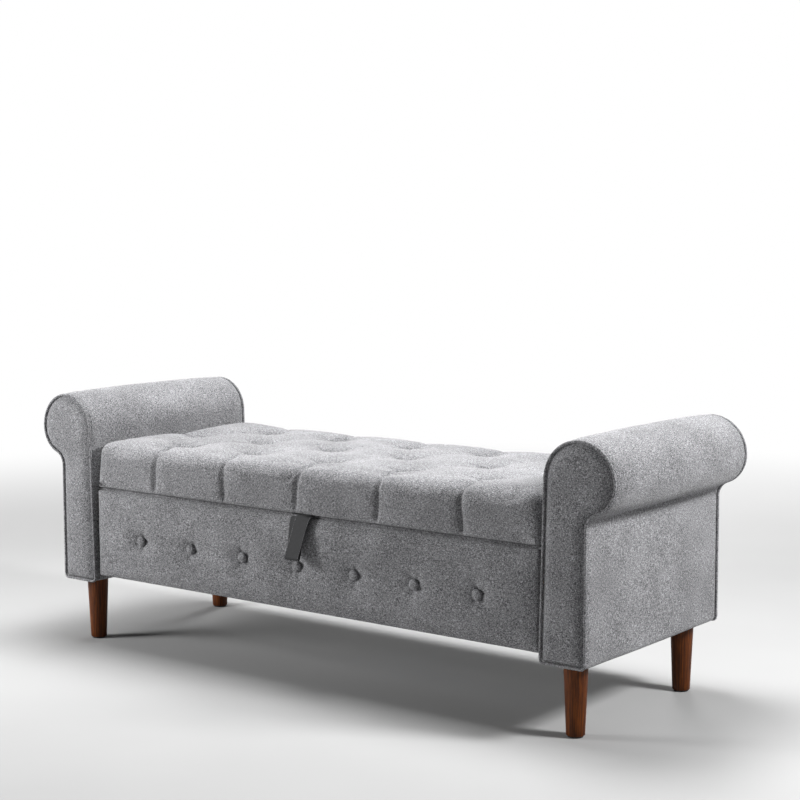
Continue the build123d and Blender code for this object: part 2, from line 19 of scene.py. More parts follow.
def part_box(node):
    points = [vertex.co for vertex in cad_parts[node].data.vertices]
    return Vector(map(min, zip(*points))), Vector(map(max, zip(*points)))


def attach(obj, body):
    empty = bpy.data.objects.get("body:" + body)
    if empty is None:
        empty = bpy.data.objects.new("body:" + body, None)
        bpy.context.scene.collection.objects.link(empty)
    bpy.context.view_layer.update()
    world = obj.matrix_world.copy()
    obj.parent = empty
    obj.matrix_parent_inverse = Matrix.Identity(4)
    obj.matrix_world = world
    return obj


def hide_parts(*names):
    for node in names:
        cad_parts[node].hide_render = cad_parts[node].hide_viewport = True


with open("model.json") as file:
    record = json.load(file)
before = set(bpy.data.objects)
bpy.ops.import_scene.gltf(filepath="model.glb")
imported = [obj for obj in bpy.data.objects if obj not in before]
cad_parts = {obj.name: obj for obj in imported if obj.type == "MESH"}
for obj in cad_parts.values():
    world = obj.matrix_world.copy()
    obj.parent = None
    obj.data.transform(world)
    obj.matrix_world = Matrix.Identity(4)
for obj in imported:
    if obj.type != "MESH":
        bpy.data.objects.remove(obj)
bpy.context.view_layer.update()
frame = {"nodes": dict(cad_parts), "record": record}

LOG = logging.getLogger("storage_bench")
MM = 0.001

Socket = bpy.types.NodeSocket
Node = bpy.types.Node
Tree = bpy.types.NodeTree
Piece = bpy.types.Object
Colour = tuple[float, float, float, float]


class Direction(Enum):
    """A direction along one axis; the value is its sign."""

    @property
    def word(self) -> str:
        """The direction's name as it stands in node names."""
        return self.name.lower()


class Side(Direction):
    """The two ends of the bench, along X."""

    LEFT = -1
    RIGHT = 1


class End(Direction):
    """The front and back of an arm or of the box, along Y."""

    FRONT = -1
    BACK = 1


# ---------------------------------------------------------------- nodes and colours


def colour(hex_code: str) -> Colour:
    """Turn an sRGB hex colour to linear.

    Args:
        hex_code: Six hex digits.

    Returns:
        Linear red, green, blue and an alpha of 1.
    """
    parts = [int(hex_code[i:i + 2], 16) / 255 for i in (0, 2, 4)]
    linear = [c / 12.92 if c <= 0.04045 else ((c + 0.055) / 1.055) ** 2.4 for c in parts]
    return (linear[0], linear[1], linear[2], 1.0)


def add_node(tree: Tree, kind: str, settings: dict[str, Any] | None = None,
             values: dict[Any, Any] | None = None, links: dict[Any, Socket] | None = None) -> Node:
    """Add one node with its settings, input values and incoming links.

    Args:
        tree: Tree that gets the node.
        kind: Blender's name for the node type.
        settings: Node properties by name.
        values: Input defaults by socket name or index.
        links: Sockets to link from, by this node's socket name or index.

    Returns:
        The new node.
    """
    node = tree.nodes.new(kind)
    for key, value in (settings or {}).items():
        setattr(node, key, value)
    for key, value in (values or {}).items():
        node.inputs[key].default_value = value
    for key, source in (links or {}).items():
        tree.links.new(source, node.inputs[key])
    return node


def new_material(name: str, values: dict[str, float]) -> tuple[bpy.types.Material, Tree, Node,
                                                               Socket]:
    """Start a material: its tree, its shader and the coordinates that its patterns read.

    Args:
        name: Material name.
        values: Constants of its Principled shader, by socket name.

    Returns:
        The material, its tree, its Principled shader and the Object coordinate socket.
    """
    material = bpy.data.materials.new(name)
    material.use_nodes = True
    tree = material.node_tree
    shader = tree.nodes["Principled BSDF"]
    for label, value in values.items():
        shader.inputs[label].default_value = value
    place = add_node(tree, "ShaderNodeTexCoord").outputs["Object"]
    return material, tree, shader, place


def base_colour(tree: Tree, shader: Node, factor: Socket,
                stops: Sequence[tuple[float, str]]) -> None:
    """Colour a shader by a pattern.

    Args:
        tree: Material tree.
        shader: Principled shader.
        factor: The pattern, from 0 to 1.
        stops: Place on the pattern and sRGB hex colour of each stop, in order.
    """
    node = add_node(tree, "ShaderNodeValToRGB", links={"Fac": factor})
    elements = node.color_ramp.elements
    while len(elements) < len(stops):
        elements.new(0.5)
    for element, (position, hex_code) in zip(elements, stops):
        element.position = position
        element.color = colour(hex_code)
    tree.links.new(node.outputs["Color"], shader.inputs["Base Color"])


def streaks(tree: Tree, place: Socket, size: Sequence[float], detail: float = 2.0) -> Socket:
    """Noise with streaks of a given size along each axis.

    Args:
        tree: Tree that gets the nodes.
        place: Coordinates in metres.
        size: Length of a streak along X, Y and Z, in metres.
        detail: Octaves of finer noise.

    Returns:
        The noise factor socket.
    """
    scaled = add_node(tree, "ShaderNodeVectorMath", {"operation": "MULTIPLY"},
                      {1: tuple(1 / s for s in size)}, {0: place}).outputs[0]
    return add_node(tree, "ShaderNodeTexNoise", values={"Scale": 1.0, "Detail": detail},
                    links={"Vector": scaled}).outputs["Fac"]


def mixture(tree: Tree, parts: Sequence[tuple[Socket, float]], base: float = 0.0) -> Socket:
    """Add patterns up, each by its share.

    Args:
        tree: Tree that gets the nodes.
        parts: Each pattern and its share.
        base: Value that the sum starts from.

    Returns:
        The sum's socket.
    """
    before: dict[Any, Socket] = {}
    for pattern, share in parts:
        node = add_node(tree, "ShaderNodeMath", {"operation": "MULTIPLY_ADD"},
                        {1: share, 2: base}, {0: pattern, **before})
        before = {2: node.outputs[0]}
    return before[2]


def bump(tree: Tree, shader: Node, height: Socket, depth: float, strength: float = 1.0) -> None:
    """Feed a height pattern to a shader's normal.

    Args:
        tree: Tree that gets the node.
        shader: Principled shader.
        height: Height pattern from 0 to 1.
        depth: Real depth of the pattern in metres.
        strength: Share of the depth that shows.
    """
    node = add_node(tree, "ShaderNodeBump", values={"Strength": strength, "Distance": depth},
                    links={"Height": height})
    tree.links.new(node.outputs["Normal"], shader.inputs["Normal"])


# ---------------------------------------------------------------- finishes


@dataclass(frozen=True)
class HeatherWeave:
    """Linen-look polyester, plain-woven from heathered slub yarn.

    Light and dark fibres are spun together, so the eye sees short pale and dark dashes along both
    thread directions, on a matt surface with a faint bloom at grazing angles.
    """

    name: str = "heathered_linen_look_weave"
    dark: str = "2c2c2e"
    middle: str = "6c6c6e"
    pale: str = "aaaaad"
    slub_length: float = 5.0 * MM
    slub_width: float = 1.4 * MM      # real yarn is under 1 mm, drawn coarser so that it shows
    fibre: float = 1.1 * MM
    cloud: float = 90 * MM            # slow drift from paler to darker yarn
    relief: float = 0.5 * MM

    def material(self) -> bpy.types.Material:
        """Build the material."""
        material, tree, shader, place = new_material(self.name, {
            "Roughness": 0.92, "Specular IOR Level": 0.2, "Sheen Weight": 0.12,
            "Sheen Roughness": 0.5})
        along, across = self.slub_length, self.slub_width
        yarns = [streaks(tree, place, [along if i == axis else across for i in range(3)])
                 for axis in range(3)]
        fibre = streaks(tree, place, [self.fibre] * 3, 3.0)
        cloud = streaks(tree, place, [self.cloud] * 3)
        factor = mixture(tree, [(yarn, 0.62) for yarn in yarns] + [(fibre, 0.85), (cloud, 0.16)],
                         -0.95)
        base_colour(tree, shader, factor, [(0.26, self.dark), (0.5, self.middle),
                                           (0.74, self.pale)])
        bump(tree, shader, factor, self.relief, 0.8)
        return material


@dataclass(frozen=True)
class StainedWood:
    """Turned rubberwood under a walnut stain and satin lacquer.

    Fine grain runs up the leg, the stain sits darker in the pores, and the lacquer gives a soft
    vertical highlight.
    """

    name: str = "walnut_stained_rubberwood"
    dark: str = "240e02"
    middle: str = "4c2304"
    pale: str = "743c08"
    grain_length: float = 120 * MM
    grain_width: float = 3.0 * MM
    pore_length: float = 14 * MM
    pore_width: float = 0.9 * MM

    def material(self) -> bpy.types.Material:
        """Build the material."""
        material, tree, shader, place = new_material(self.name, {
            "Roughness": 0.55, "Specular IOR Level": 0.18, "Coat Weight": 0.05,
            "Coat Roughness": 0.35})
        grain = streaks(tree, place, [self.grain_width, self.grain_width, self.grain_length], 4.0)
        pores = streaks(tree, place, [self.pore_width, self.pore_width, self.pore_length], 2.0)
        tone = mixture(tree, [(grain, 0.75), (pores, 0.25)])
        base_colour(tree, shader, tone, [(0.3, self.dark), (0.5, self.middle), (0.72, self.pale)])
        bump(tree, shader, pores, 0.12 * MM, 0.5)
        return material


@dataclass(frozen=True)
class RibbedRibbon:
    """Dark grey woven tape with fine ribs across it, which catch the light as close lines."""

    name: str = "ribbed_dark_grey_tape"
    dark: str = "111112"
    pale: str = "333335"
    rib: float = 2.4 * MM             # real ribs are 1 mm apart, drawn coarser so that they show

    def material(self) -> bpy.types.Material:
        """Build the material."""
        material, tree, shader, place = new_material(self.name, {"Roughness": 0.85})
        ribs = add_node(tree, "ShaderNodeTexWave", {"bands_direction": "Z"}, {
            "Scale": math.tau / (20 * self.rib), "Distortion": 0.6, "Detail": 1.0},
            {"Vector": place}).outputs["Fac"]
        lint = streaks(tree, place, [1.4 * MM] * 3, 3.0)
        tone = mixture(tree, [(ribs, 0.35), (lint, 0.65)])
        base_colour(tree, shader, tone, [(0.25, self.dark), (0.75, self.pale)])
        bump(tree, shader, tone, 0.4 * MM, 0.8)
        return material


@dataclass(frozen=True)
class SawnBoard:
    """Plywood or fibreboard left bare inside the bench, with fine fibres along its length."""

    name: str
    dark: str
    pale: str
    fibre: tuple[float, float, float] = (60 * MM, 1.6 * MM, 1.6 * MM)

    def material(self) -> bpy.types.Material:
        """Build the material."""
        material, tree, shader, place = new_material(self.name, {"Roughness": 0.78})
        fibres = streaks(tree, place, self.fibre, 3.0)
        base_colour(tree, shader, fibres, [(0.3, self.dark), (0.7, self.pale)])
        bump(tree, shader, fibres, 0.2 * MM, 0.5)
        return material


@dataclass(frozen=True)
class SpunCloth:
    """Spun-bonded non-woven cloth, point-bonded in a fine grid of small dimples."""

    name: str
    dark: str
    pale: str
    pitch: float = 3.0 * MM            # real bond points are 1 mm apart, drawn coarser to show

    def material(self) -> bpy.types.Material:
        """Build the material."""
        material, tree, shader, place = new_material(self.name, {"Roughness": 0.85})
        fibres = streaks(tree, place, [1.5 * MM] * 3, 3.0)
        points = add_node(tree, "ShaderNodeTexVoronoi", values={
            "Scale": 1 / self.pitch, "Randomness": 0.15},
            links={"Vector": place}).outputs["Distance"]
        base_colour(tree, shader, fibres, [(0.3, self.dark), (0.75, self.pale)])
        bump(tree, shader, points, 0.25 * MM, 0.6)
        return material


@dataclass(frozen=True)
class ZincSteel:
    """Pressed steel under bright zinc plate, with faint rolling marks and a milky bloom."""

    name: str = "zinc_plated_steel"
    dull: str = "9fa3a8"
    bright: str = "c9ccd0"

    def material(self) -> bpy.types.Material:
        """Build the material."""
        material, tree, shader, place = new_material(self.name, {"Metallic": 1.0})
        marks = streaks(tree, place, [20 * MM, 0.8 * MM, 0.8 * MM], 2.0)
        base_colour(tree, shader, marks, [(0.3, self.dull), (0.7, self.bright)])
        rough = add_node(tree, "ShaderNodeMapRange", values={"To Min": 0.28, "To Max": 0.45},
                         links={"Value": marks}).outputs["Result"]
        tree.links.new(rough, shader.inputs["Roughness"])
        bump(tree, shader, marks, 0.02 * MM, 0.5)
        return material


@dataclass(frozen=True)
class MouldedPolymer:
    """Moulded nylon, rubber or cut foam: one colour with a fine skin or cell texture."""

    name: str
    dark: str
    pale: str
    grit: float
    depth: float
    roughness: float

    def material(self) -> bpy.types.Material:
        """Build the material."""
        material, tree, shader, place = new_material(self.name, {"Roughness": self.roughness})
        skin = streaks(tree, place, [self.grit] * 3, 3.0)
        base_colour(tree, shader, skin, [(0.3, self.dark), (0.7, self.pale)])
        bump(tree, shader, skin, self.depth, 0.6)
        return material


class Finishes:
    """The bench's materials, by the record's slot names."""

    def __init__(self) -> None:
        """Build each material once."""
        self.by_slot: dict[str, bpy.types.Material] = {
            "grey_fabric": HeatherWeave().material(),
            "dark_grey_ribbon": RibbedRibbon().material(),
            "walnut_stained_wood": StainedWood().material(),
            "plywood": SawnBoard("sanded_poplar_plywood", "a98455", "cdae7c").material(),
            "fibreboard": SawnBoard("sawn_fibreboard", "8d6a45", "a88560",
                                    (2 * MM,) * 3).material(),
            "pale_foam": MouldedPolymer("cut_polyurethane_foam", "d8cfa8", "ece4c4", 2.2 * MM,
                                        0.6 * MM, 0.9).material(),
            "lining_cloth": SpunCloth("grey_spun_bonded_lining", "46464a", "68686c").material(),
            "black_cloth": SpunCloth("black_spun_bonded_dust_cloth", "101012", "2a2a2c").material(),
            "zinc_steel": ZincSteel().material(),
            "black_rubber": MouldedPolymer("moulded_black_rubber", "101010", "1e1e1e", 0.8 * MM,
                                           0.05 * MM, 0.7).material(),
            "black_plastic": MouldedPolymer("moulded_black_nylon", "141415", "232325", 0.5 * MM,
                                            0.04 * MM, 0.45).material(),
        }

    def dress(self, piece: Piece, slot: str, body: str) -> None:
        """Give a new piece its finish, its slot and the body that it rides on.

        Args:
            piece: Finished piece.
            slot: Material slot in the record.
            body: CAD body that carries the piece.
        """
        piece.data.materials.clear()
        piece.data.materials.append(self.by_slot[slot])
        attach(piece, body)

    def dress_cad_nodes(self) -> int:
        """Give every CAD node its finish.

        Returns:
            The number of nodes dressed.
        """
        slots = {row["node"]: row["material_slot"] for row in frame["record"]["subparts"]}
        for name, node in frame["nodes"].items():
            node.data.materials.clear()
            node.data.materials.append(self.by_slot[slots[name]])
        return len(slots)


# ---------------------------------------------------------------- mesh helpers


def new_piece(name: str, points: np.ndarray | Sequence, faces: Sequence,
              smooth: bool = True) -> Piece:
    """Make a mesh object from points and faces.

    Args:
        name: Piece name.
        points: Vertex places, one row each.
        faces: Vertex indices of each face.
        smooth: Shade smoothly.

    Returns:
        The new object, linked to the scene.
    """
    mesh = bpy.data.meshes.new(name)
    mesh.from_pydata([tuple(map(float, p)) for p in points], [], [tuple(f) for f in faces])
    mesh.validate()
    if smooth:
        mesh.shade_smooth()
    piece = bpy.data.objects.new(name, mesh)
    bpy.context.scene.collection.objects.link(piece)
    return piece


def tidy_normals(piece: Piece) -> None:
    """Merge doubled vertices and turn all faces outwards."""
    work = bmesh.new()
    work.from_mesh(piece.data)
    bmesh.ops.remove_doubles(work, verts=work.verts, dist=1e-6)
    bmesh.ops.recalc_face_normals(work, faces=work.faces)
    work.to_mesh(piece.data)
    work.free()


def places(piece: Piece, field: str = "co") -> np.ndarray:
    """The piece's vertex places, or another field with three numbers, one row each."""
    flat = np.empty(len(piece.data.vertices) * 3)
    piece.data.vertices.foreach_get(field, flat)
    return flat.reshape(-1, 3)


def move_to(piece: Piece, points: np.ndarray) -> None:
    """Put the piece's vertices at new places, one row each."""
    piece.data.vertices.foreach_set("co", points.astype(np.float32).ravel())
    piece.data.update()


def outward(piece: Piece) -> np.ndarray:
    """The piece's vertex normals, one row each."""
    return places(piece, "normal")


def fixed_mesh(piece: Piece) -> None:
    """Turn a piece's live modifiers into a plain mesh."""
    graph = bpy.context.evaluated_depsgraph_get()
    mesh = bpy.data.meshes.new_from_object(piece.evaluated_get(graph))
    piece.modifiers.clear()
    piece.data = mesh
    mesh.name = piece.name


def subdivide(piece: Piece, levels: int = 1) -> None:
    """Smooth a piece by subdivision and keep the result as its mesh."""
    modifier = piece.modifiers.new("smooth", "SUBSURF")
    modifier.levels = modifier.render_levels = levels
    fixed_mesh(piece)


def ripple(points: np.ndarray, size: Sequence[float], seed: float) -> np.ndarray:
    """Smooth noise in space.

    Args:
        points: Places, one row each.
        size: Length of a ripple along each axis, in metres.
        seed: Shift that gives a different pattern.

    Returns:
        One value from about -1 to 1 for each place.
    """
    scaled = points / np.array(size) + seed
    return np.array([noise.noise(Vector(p)) for p in scaled])


def bell(distance: np.ndarray, width: float) -> np.ndarray:
    """A smooth bump of height 1 that fades over the width."""
    return np.exp(-(distance / width) ** 2)


def swell(piece: Piece, held: np.ndarray, pressure: float, cap: float, frames: int = 20) -> None:
    """Blow a closed fabric piece up by cloth simulation, holding some of its vertices.

    Args:
        piece: Closed mesh.
        held: True for each vertex that stays where it is.
        pressure: Pressure inside the piece.
        cap: Furthest that a vertex may move, in metres.
        frames: Length of the simulation.
    """
    start = places(piece)
    group = piece.vertex_groups.new(name="held")
    group.add([int(i) for i in np.flatnonzero(held)], 1.0, "REPLACE")
    modifier = piece.modifiers.new("cloth", "CLOTH")
    settings = modifier.settings
    settings.quality = 5
    settings.mass = 0.3
    settings.tension_stiffness = settings.compression_stiffness = 15
    settings.shear_stiffness = 5
    settings.bending_stiffness = 0.5
    settings.vertex_group_mass = group.name
    settings.use_pressure = True
    settings.uniform_pressure_force = pressure
    settings.effector_weights.gravity = 0
    modifier.collision_settings.use_collision = False
    modifier.point_cache.frame_end = frames
    scene = bpy.context.scene
    for step in range(1, frames + 1):
        scene.frame_set(step)
    fixed_mesh(piece)
    scene.frame_set(1)
    piece.vertex_groups.clear()
    move = places(piece) - start
    length = np.linalg.norm(move, axis=1, keepdims=True)
    move_to(piece, start + move * np.minimum(1.0, cap / np.maximum(length, 1e-9)))


def ring_faces(rings: int, count: int, first: int = 0) -> list[tuple[int, ...]]:
    """Quads between neighbouring closed rings of points.

    Args:
        rings: Number of rings.
        count: Points in each ring.
        first: Index of the first ring's first point.

    Returns:
        Vertex indices of each quad.
    """
    faces: list[tuple[int, ...]] = []
    for start in range(first, first + (rings - 1) * count, count):
        for i in range(count):
            j = (i + 1) % count
            faces.append((start + i, start + j, start + count + j, start + count + i))
    return faces


def circle(radius: float, z: float, sides: int) -> list[tuple[float, float, float]]:
    """Even points round a level circle about the Z axis."""
    angles = [math.tau * i / sides for i in range(sides)]
    return [(radius * math.cos(t), radius * math.sin(t), z) for t in angles]


def lathed(name: str, profile: Sequence[tuple[float, float]], sides: int,
           x: float = 0.0, y: float = 0.0) -> Piece:
    """A turned piece with flat ends, standing along Z.

    Args:
        name: Piece name.
        profile: Radius and height of each ring, from the bottom up.
        sides: Points in each ring.
        x: Its axis in X.
        y: Its axis in Y.

    Returns:
        The piece.
    """
    points = [(x + a, y + b, c) for radius, z in profile for a, b, c in circle(radius, z, sides)]
    last = len(points) - sides
    faces = ring_faces(len(profile), sides)
    faces += [tuple(range(sides - 1, -1, -1)), tuple(range(last, len(points)))]
    return new_piece(name, points, faces)


def rounded_block(low: Vector, high: Vector, cell: float, top_r: float,
                  low_r: float) -> tuple[np.ndarray, list[tuple[int, ...]]]:
    """A closed block of even square cells with rounded edges.

    Args:
        low: Lowest corner.
        high: Highest corner.
        cell: Size of a cell.
        top_r: Radius of the top edges.
        low_r: Radius of the bottom edges.

    Returns:
        Vertex places and faces.
    """
    size = np.array(high - low)
    counts = np.maximum(1, np.round(size / cell)).astype(int)
    index: dict[tuple[int, int, int], int] = {}
    lattice: list[tuple[int, int, int]] = []
    faces: list[tuple[int, ...]] = []

    def corner(spot: tuple[int, int, int]) -> int:
        """Index of the vertex at a lattice spot, added the first time."""
        if spot not in index:
            index[spot] = len(lattice)
            lattice.append(spot)
        return index[spot]

    for axis in range(3):
        u, v = (axis + 1) % 3, (axis + 2) % 3
        for level in (0, counts[axis]):
            for i in range(counts[u]):
                for j in range(counts[v]):
                    ring = []
                    for a, b in ((0, 0), (1, 0), (1, 1), (0, 1)):
                        spot = [0, 0, 0]
                        spot[axis], spot[u], spot[v] = level, i + a, j + b
                        ring.append(corner(tuple(int(s) for s in spot)))
                    faces.append(tuple(ring if level else ring[::-1]))
    share = np.array(lattice) / counts
    blend = share[:, 2:3] ** 2 * (3 - 2 * share[:, 2:3])
    radius = low_r + (top_r - low_r) * blend
    points = np.array(low) + share * size
    inner = np.clip(points, np.array(low) + radius, np.array(high) - radius)
    away = points - inner
    length = np.linalg.norm(away, axis=1, keepdims=True)
    return inner + away / np.maximum(length, 1e-9) * np.minimum(radius, length * 99), faces


def segment_distance(points: np.ndarray, start: Sequence[float],
                     end: Sequence[float]) -> tuple[np.ndarray, np.ndarray]:
    """Distance from flat points to a segment, and how far along it each one is.

    Args:
        points: Places in the plane, one row each.
        start: Start of the segment.
        end: End of the segment.

    Returns:
        Distances in metres, and shares from 0 to 1 along the segment.
    """
    a, b = np.array(start), np.array(end)
    along = b - a
    share = np.clip(((points - a) @ along) / (along @ along), 0, 1)
    return np.linalg.norm(points - a - share[:, None] * along, axis=1), share


# ---------------------------------------------------------------- geometry node trees


def node_tree(name: str, inputs: dict[str, tuple[str, Any]]) -> tuple[Tree, Node, Node]:
    """Start a geometry node tree with named inputs after its geometry.

    Args:
        name: Tree name.
        inputs: Socket type and default value for each input name.

    Returns:
        The tree, its input node and its output node.
    """
    tree = bpy.data.node_groups.new(name, "GeometryNodeTree")
    tree.interface.new_socket("Geometry", in_out="INPUT", socket_type="NodeSocketGeometry")
    for label, (kind, default) in inputs.items():
        socket = tree.interface.new_socket(label, in_out="INPUT", socket_type=kind)
        if default is not None:
            socket.default_value = default
    tree.interface.new_socket("Geometry", in_out="OUTPUT", socket_type="NodeSocketGeometry")
    return tree, add_node(tree, "NodeGroupInput"), add_node(tree, "NodeGroupOutput")


def end_tree(tree: Tree, end: Node, geometry: Socket, material: Socket) -> None:
    """Close a tree with Realize Instances and Set Material."""
    real = add_node(tree, "GeometryNodeRealizeInstances", links={"Geometry": geometry}).outputs[0]
    done = add_node(tree, "GeometryNodeSetMaterial", links={"Geometry": real, "Material": material})
    tree.links.new(done.outputs[0], end.inputs[0])


def run_tree(piece: Piece, tree: Tree, values: dict[str, Any]) -> None:
    """Run a node tree on a piece with the given inputs and keep the result as its mesh.

    Args:
        piece: Object whose mesh goes in, and that gets the result.
        tree: Geometry node tree.
        values: Input values by name.
    """
    modifier = piece.modifiers.new(tree.name, "NODES")
    modifier.node_group = tree
    for item in tree.interface.items_tree:
        if item.in_out == "INPUT" and item.name in values:
            modifier[item.identifier] = values[item.name]
    piece.update_tag()
    bpy.context.view_layer.update()
    fixed_mesh(piece)
    piece.data.shade_smooth()


def cord_tree() -> Tree:
    """A tree that turns a path of edges into a fabric-covered cord."""
    tree, start, end = node_tree("piping_cord", {
        "Radius": ("NodeSocketFloat", 2.5 * MM), "Sides": ("NodeSocketInt", 12),
        "Pucker": ("NodeSocketFloat", 0.25 * MM), "Material": ("NodeSocketMaterial", None)})
    path = add_node(tree, "GeometryNodeMeshToCurve", links={"Mesh": start.outputs["Geometry"]})
    ring = add_node(tree, "GeometryNodeCurvePrimitiveCircle", links={
        "Resolution": start.outputs["Sides"], "Radius": start.outputs["Radius"]})
    tube = add_node(tree, "GeometryNodeCurveToMesh", links={
        "Curve": path.outputs[0], "Profile Curve": ring.outputs["Curve"]})
    where = add_node(tree, "GeometryNodeInputPosition").outputs[0]
    lumps = add_node(tree, "ShaderNodeTexNoise", values={"Scale": 120.0, "Detail": 1.0},
                     links={"Vector": where}).outputs["Fac"]
    centred = mixture(tree, [(lumps, 1.0)], -0.5)
    lift = add_node(tree, "ShaderNodeMath", {"operation": "MULTIPLY"},
                    links={0: centred, 1: start.outputs["Pucker"]}).outputs[0]
    normal = add_node(tree, "GeometryNodeInputNormal").outputs[0]
    shift = add_node(tree, "ShaderNodeVectorMath", {"operation": "SCALE"},
                     links={0: normal, "Scale": lift}).outputs[0]
    moved = add_node(tree, "GeometryNodeSetPosition", links={
        "Geometry": tube.outputs[0], "Offset": shift}).outputs[0]
    end_tree(tree, end, moved, start.outputs["Material"])
    return tree


def scatter_tree() -> Tree:
    """A tree that puts a copy of one piece on every vertex, turned to the vertex's own angle."""
    tree, start, end = node_tree("copies_on_points", {
        "Copy": ("NodeSocketObject", None), "Turn": ("NodeSocketVector", (0.0, 0.0, 0.0)),
        "Spin": ("NodeSocketFloat", 0.0), "Seed": ("NodeSocketInt", 3),
        "Material": ("NodeSocketMaterial", None)})
    copy = add_node(tree, "GeometryNodeObjectInfo", links={"Object": start.outputs["Copy"]})
    spin = add_node(tree, "FunctionNodeRandomValue", links={
        "Max": start.outputs["Spin"], "Seed": start.outputs["Seed"]}).outputs[1]
    around = add_node(tree, "ShaderNodeCombineXYZ", links={"Z": spin}).outputs[0]
    placed = add_node(tree, "GeometryNodeInstanceOnPoints", links={
        "Points": start.outputs["Geometry"], "Instance": copy.outputs["Geometry"],
        "Rotation": start.outputs["Turn"]}).outputs[0]
    turned = add_node(tree, "GeometryNodeRotateInstances", links={
        "Instances": placed, "Rotation": around}).outputs[0]
    end_tree(tree, end, turned, start.outputs["Material"])
    return tree


def path_tree() -> Tree:
    """A tree that puts copies of one piece at an even pitch along a path, lying along it."""
    tree, start, end = node_tree("copies_on_path", {
        "Copy": ("NodeSocketObject", None), "Pitch": ("NodeSocketFloat", 5 * MM),
        "Material": ("NodeSocketMaterial", None)})
    path = add_node(tree, "GeometryNodeMeshToCurve", links={"Mesh": start.outputs["Geometry"]})
    spots = add_node(tree, "GeometryNodeCurveToPoints", {"mode": "LENGTH"}, links={
        "Curve": path.outputs[0], "Length": start.outputs["Pitch"]})
    copy = add_node(tree, "GeometryNodeObjectInfo", links={"Object": start.outputs["Copy"]})
    placed = add_node(tree, "GeometryNodeInstanceOnPoints", links={
        "Points": spots.outputs["Points"], "Instance": copy.outputs["Geometry"],
        "Rotation": spots.outputs["Rotation"]}).outputs[0]
    end_tree(tree, end, placed, start.outputs["Material"])
    return tree


def path_piece(name: str, paths: Iterable[np.ndarray], closed: bool = False) -> Piece:
    """A piece of bare edges along one or more paths.

    Args:
        name: Piece name.
        paths: Places along each path.
        closed: Join each path's end to its start.

    Returns:
        The piece, for a node tree to work on.
    """
    mesh = bpy.data.meshes.new(name)
    points: list[tuple[float, ...]] = []
    edges: list[tuple[int, int]] = []
    for path in paths:
        first = len(points)
        points += [tuple(map(float, p)) for p in path]
        edges += [(i, i + 1) for i in range(first, len(points) - 1)]
        if closed:
            edges.append((len(points) - 1, first))
    mesh.from_pydata(points, edges, [])
    piece = bpy.data.objects.new(name, mesh)
    bpy.context.scene.collection.objects.link(piece)
    return piece


def capsule(name: str, radius: float, half: float) -> Piece:
    """A small round-ended bar along Z, to be copied.

    Args:
        name: Name of the pattern.
        radius: Half its thickness.
        half: Half its length.

    Returns:
        The pattern, which is copied and then removed.
    """
    end_r = 0.55 * radius
    return lathed(name, [(end_r, -half), (radius, -half + radius), (radius, half - radius),
                         (end_r, half)], 6)


# ---------------------------------------------------------------- lid


@dataclass(frozen=True)
class Fold:
    """Depth and width of a fold's soft hollow and of its sharp line."""

    soft: float
    soft_w: float
    line: float
    line_w: float

    def depth(self, reach: np.ndarray, dish: float, sharp: float) -> np.ndarray:
        """The fold's depth at each distance from its middle.

        Args:
            reach: Distances.
            dish: Share of the soft hollow.
            sharp: Share of the sharp line.

        Returns:
            Depths in metres.
        """
        hollow = dish * self.soft * bell(reach, self.soft_w)
        return hollow + sharp * self.line * bell(reach, self.line_w)


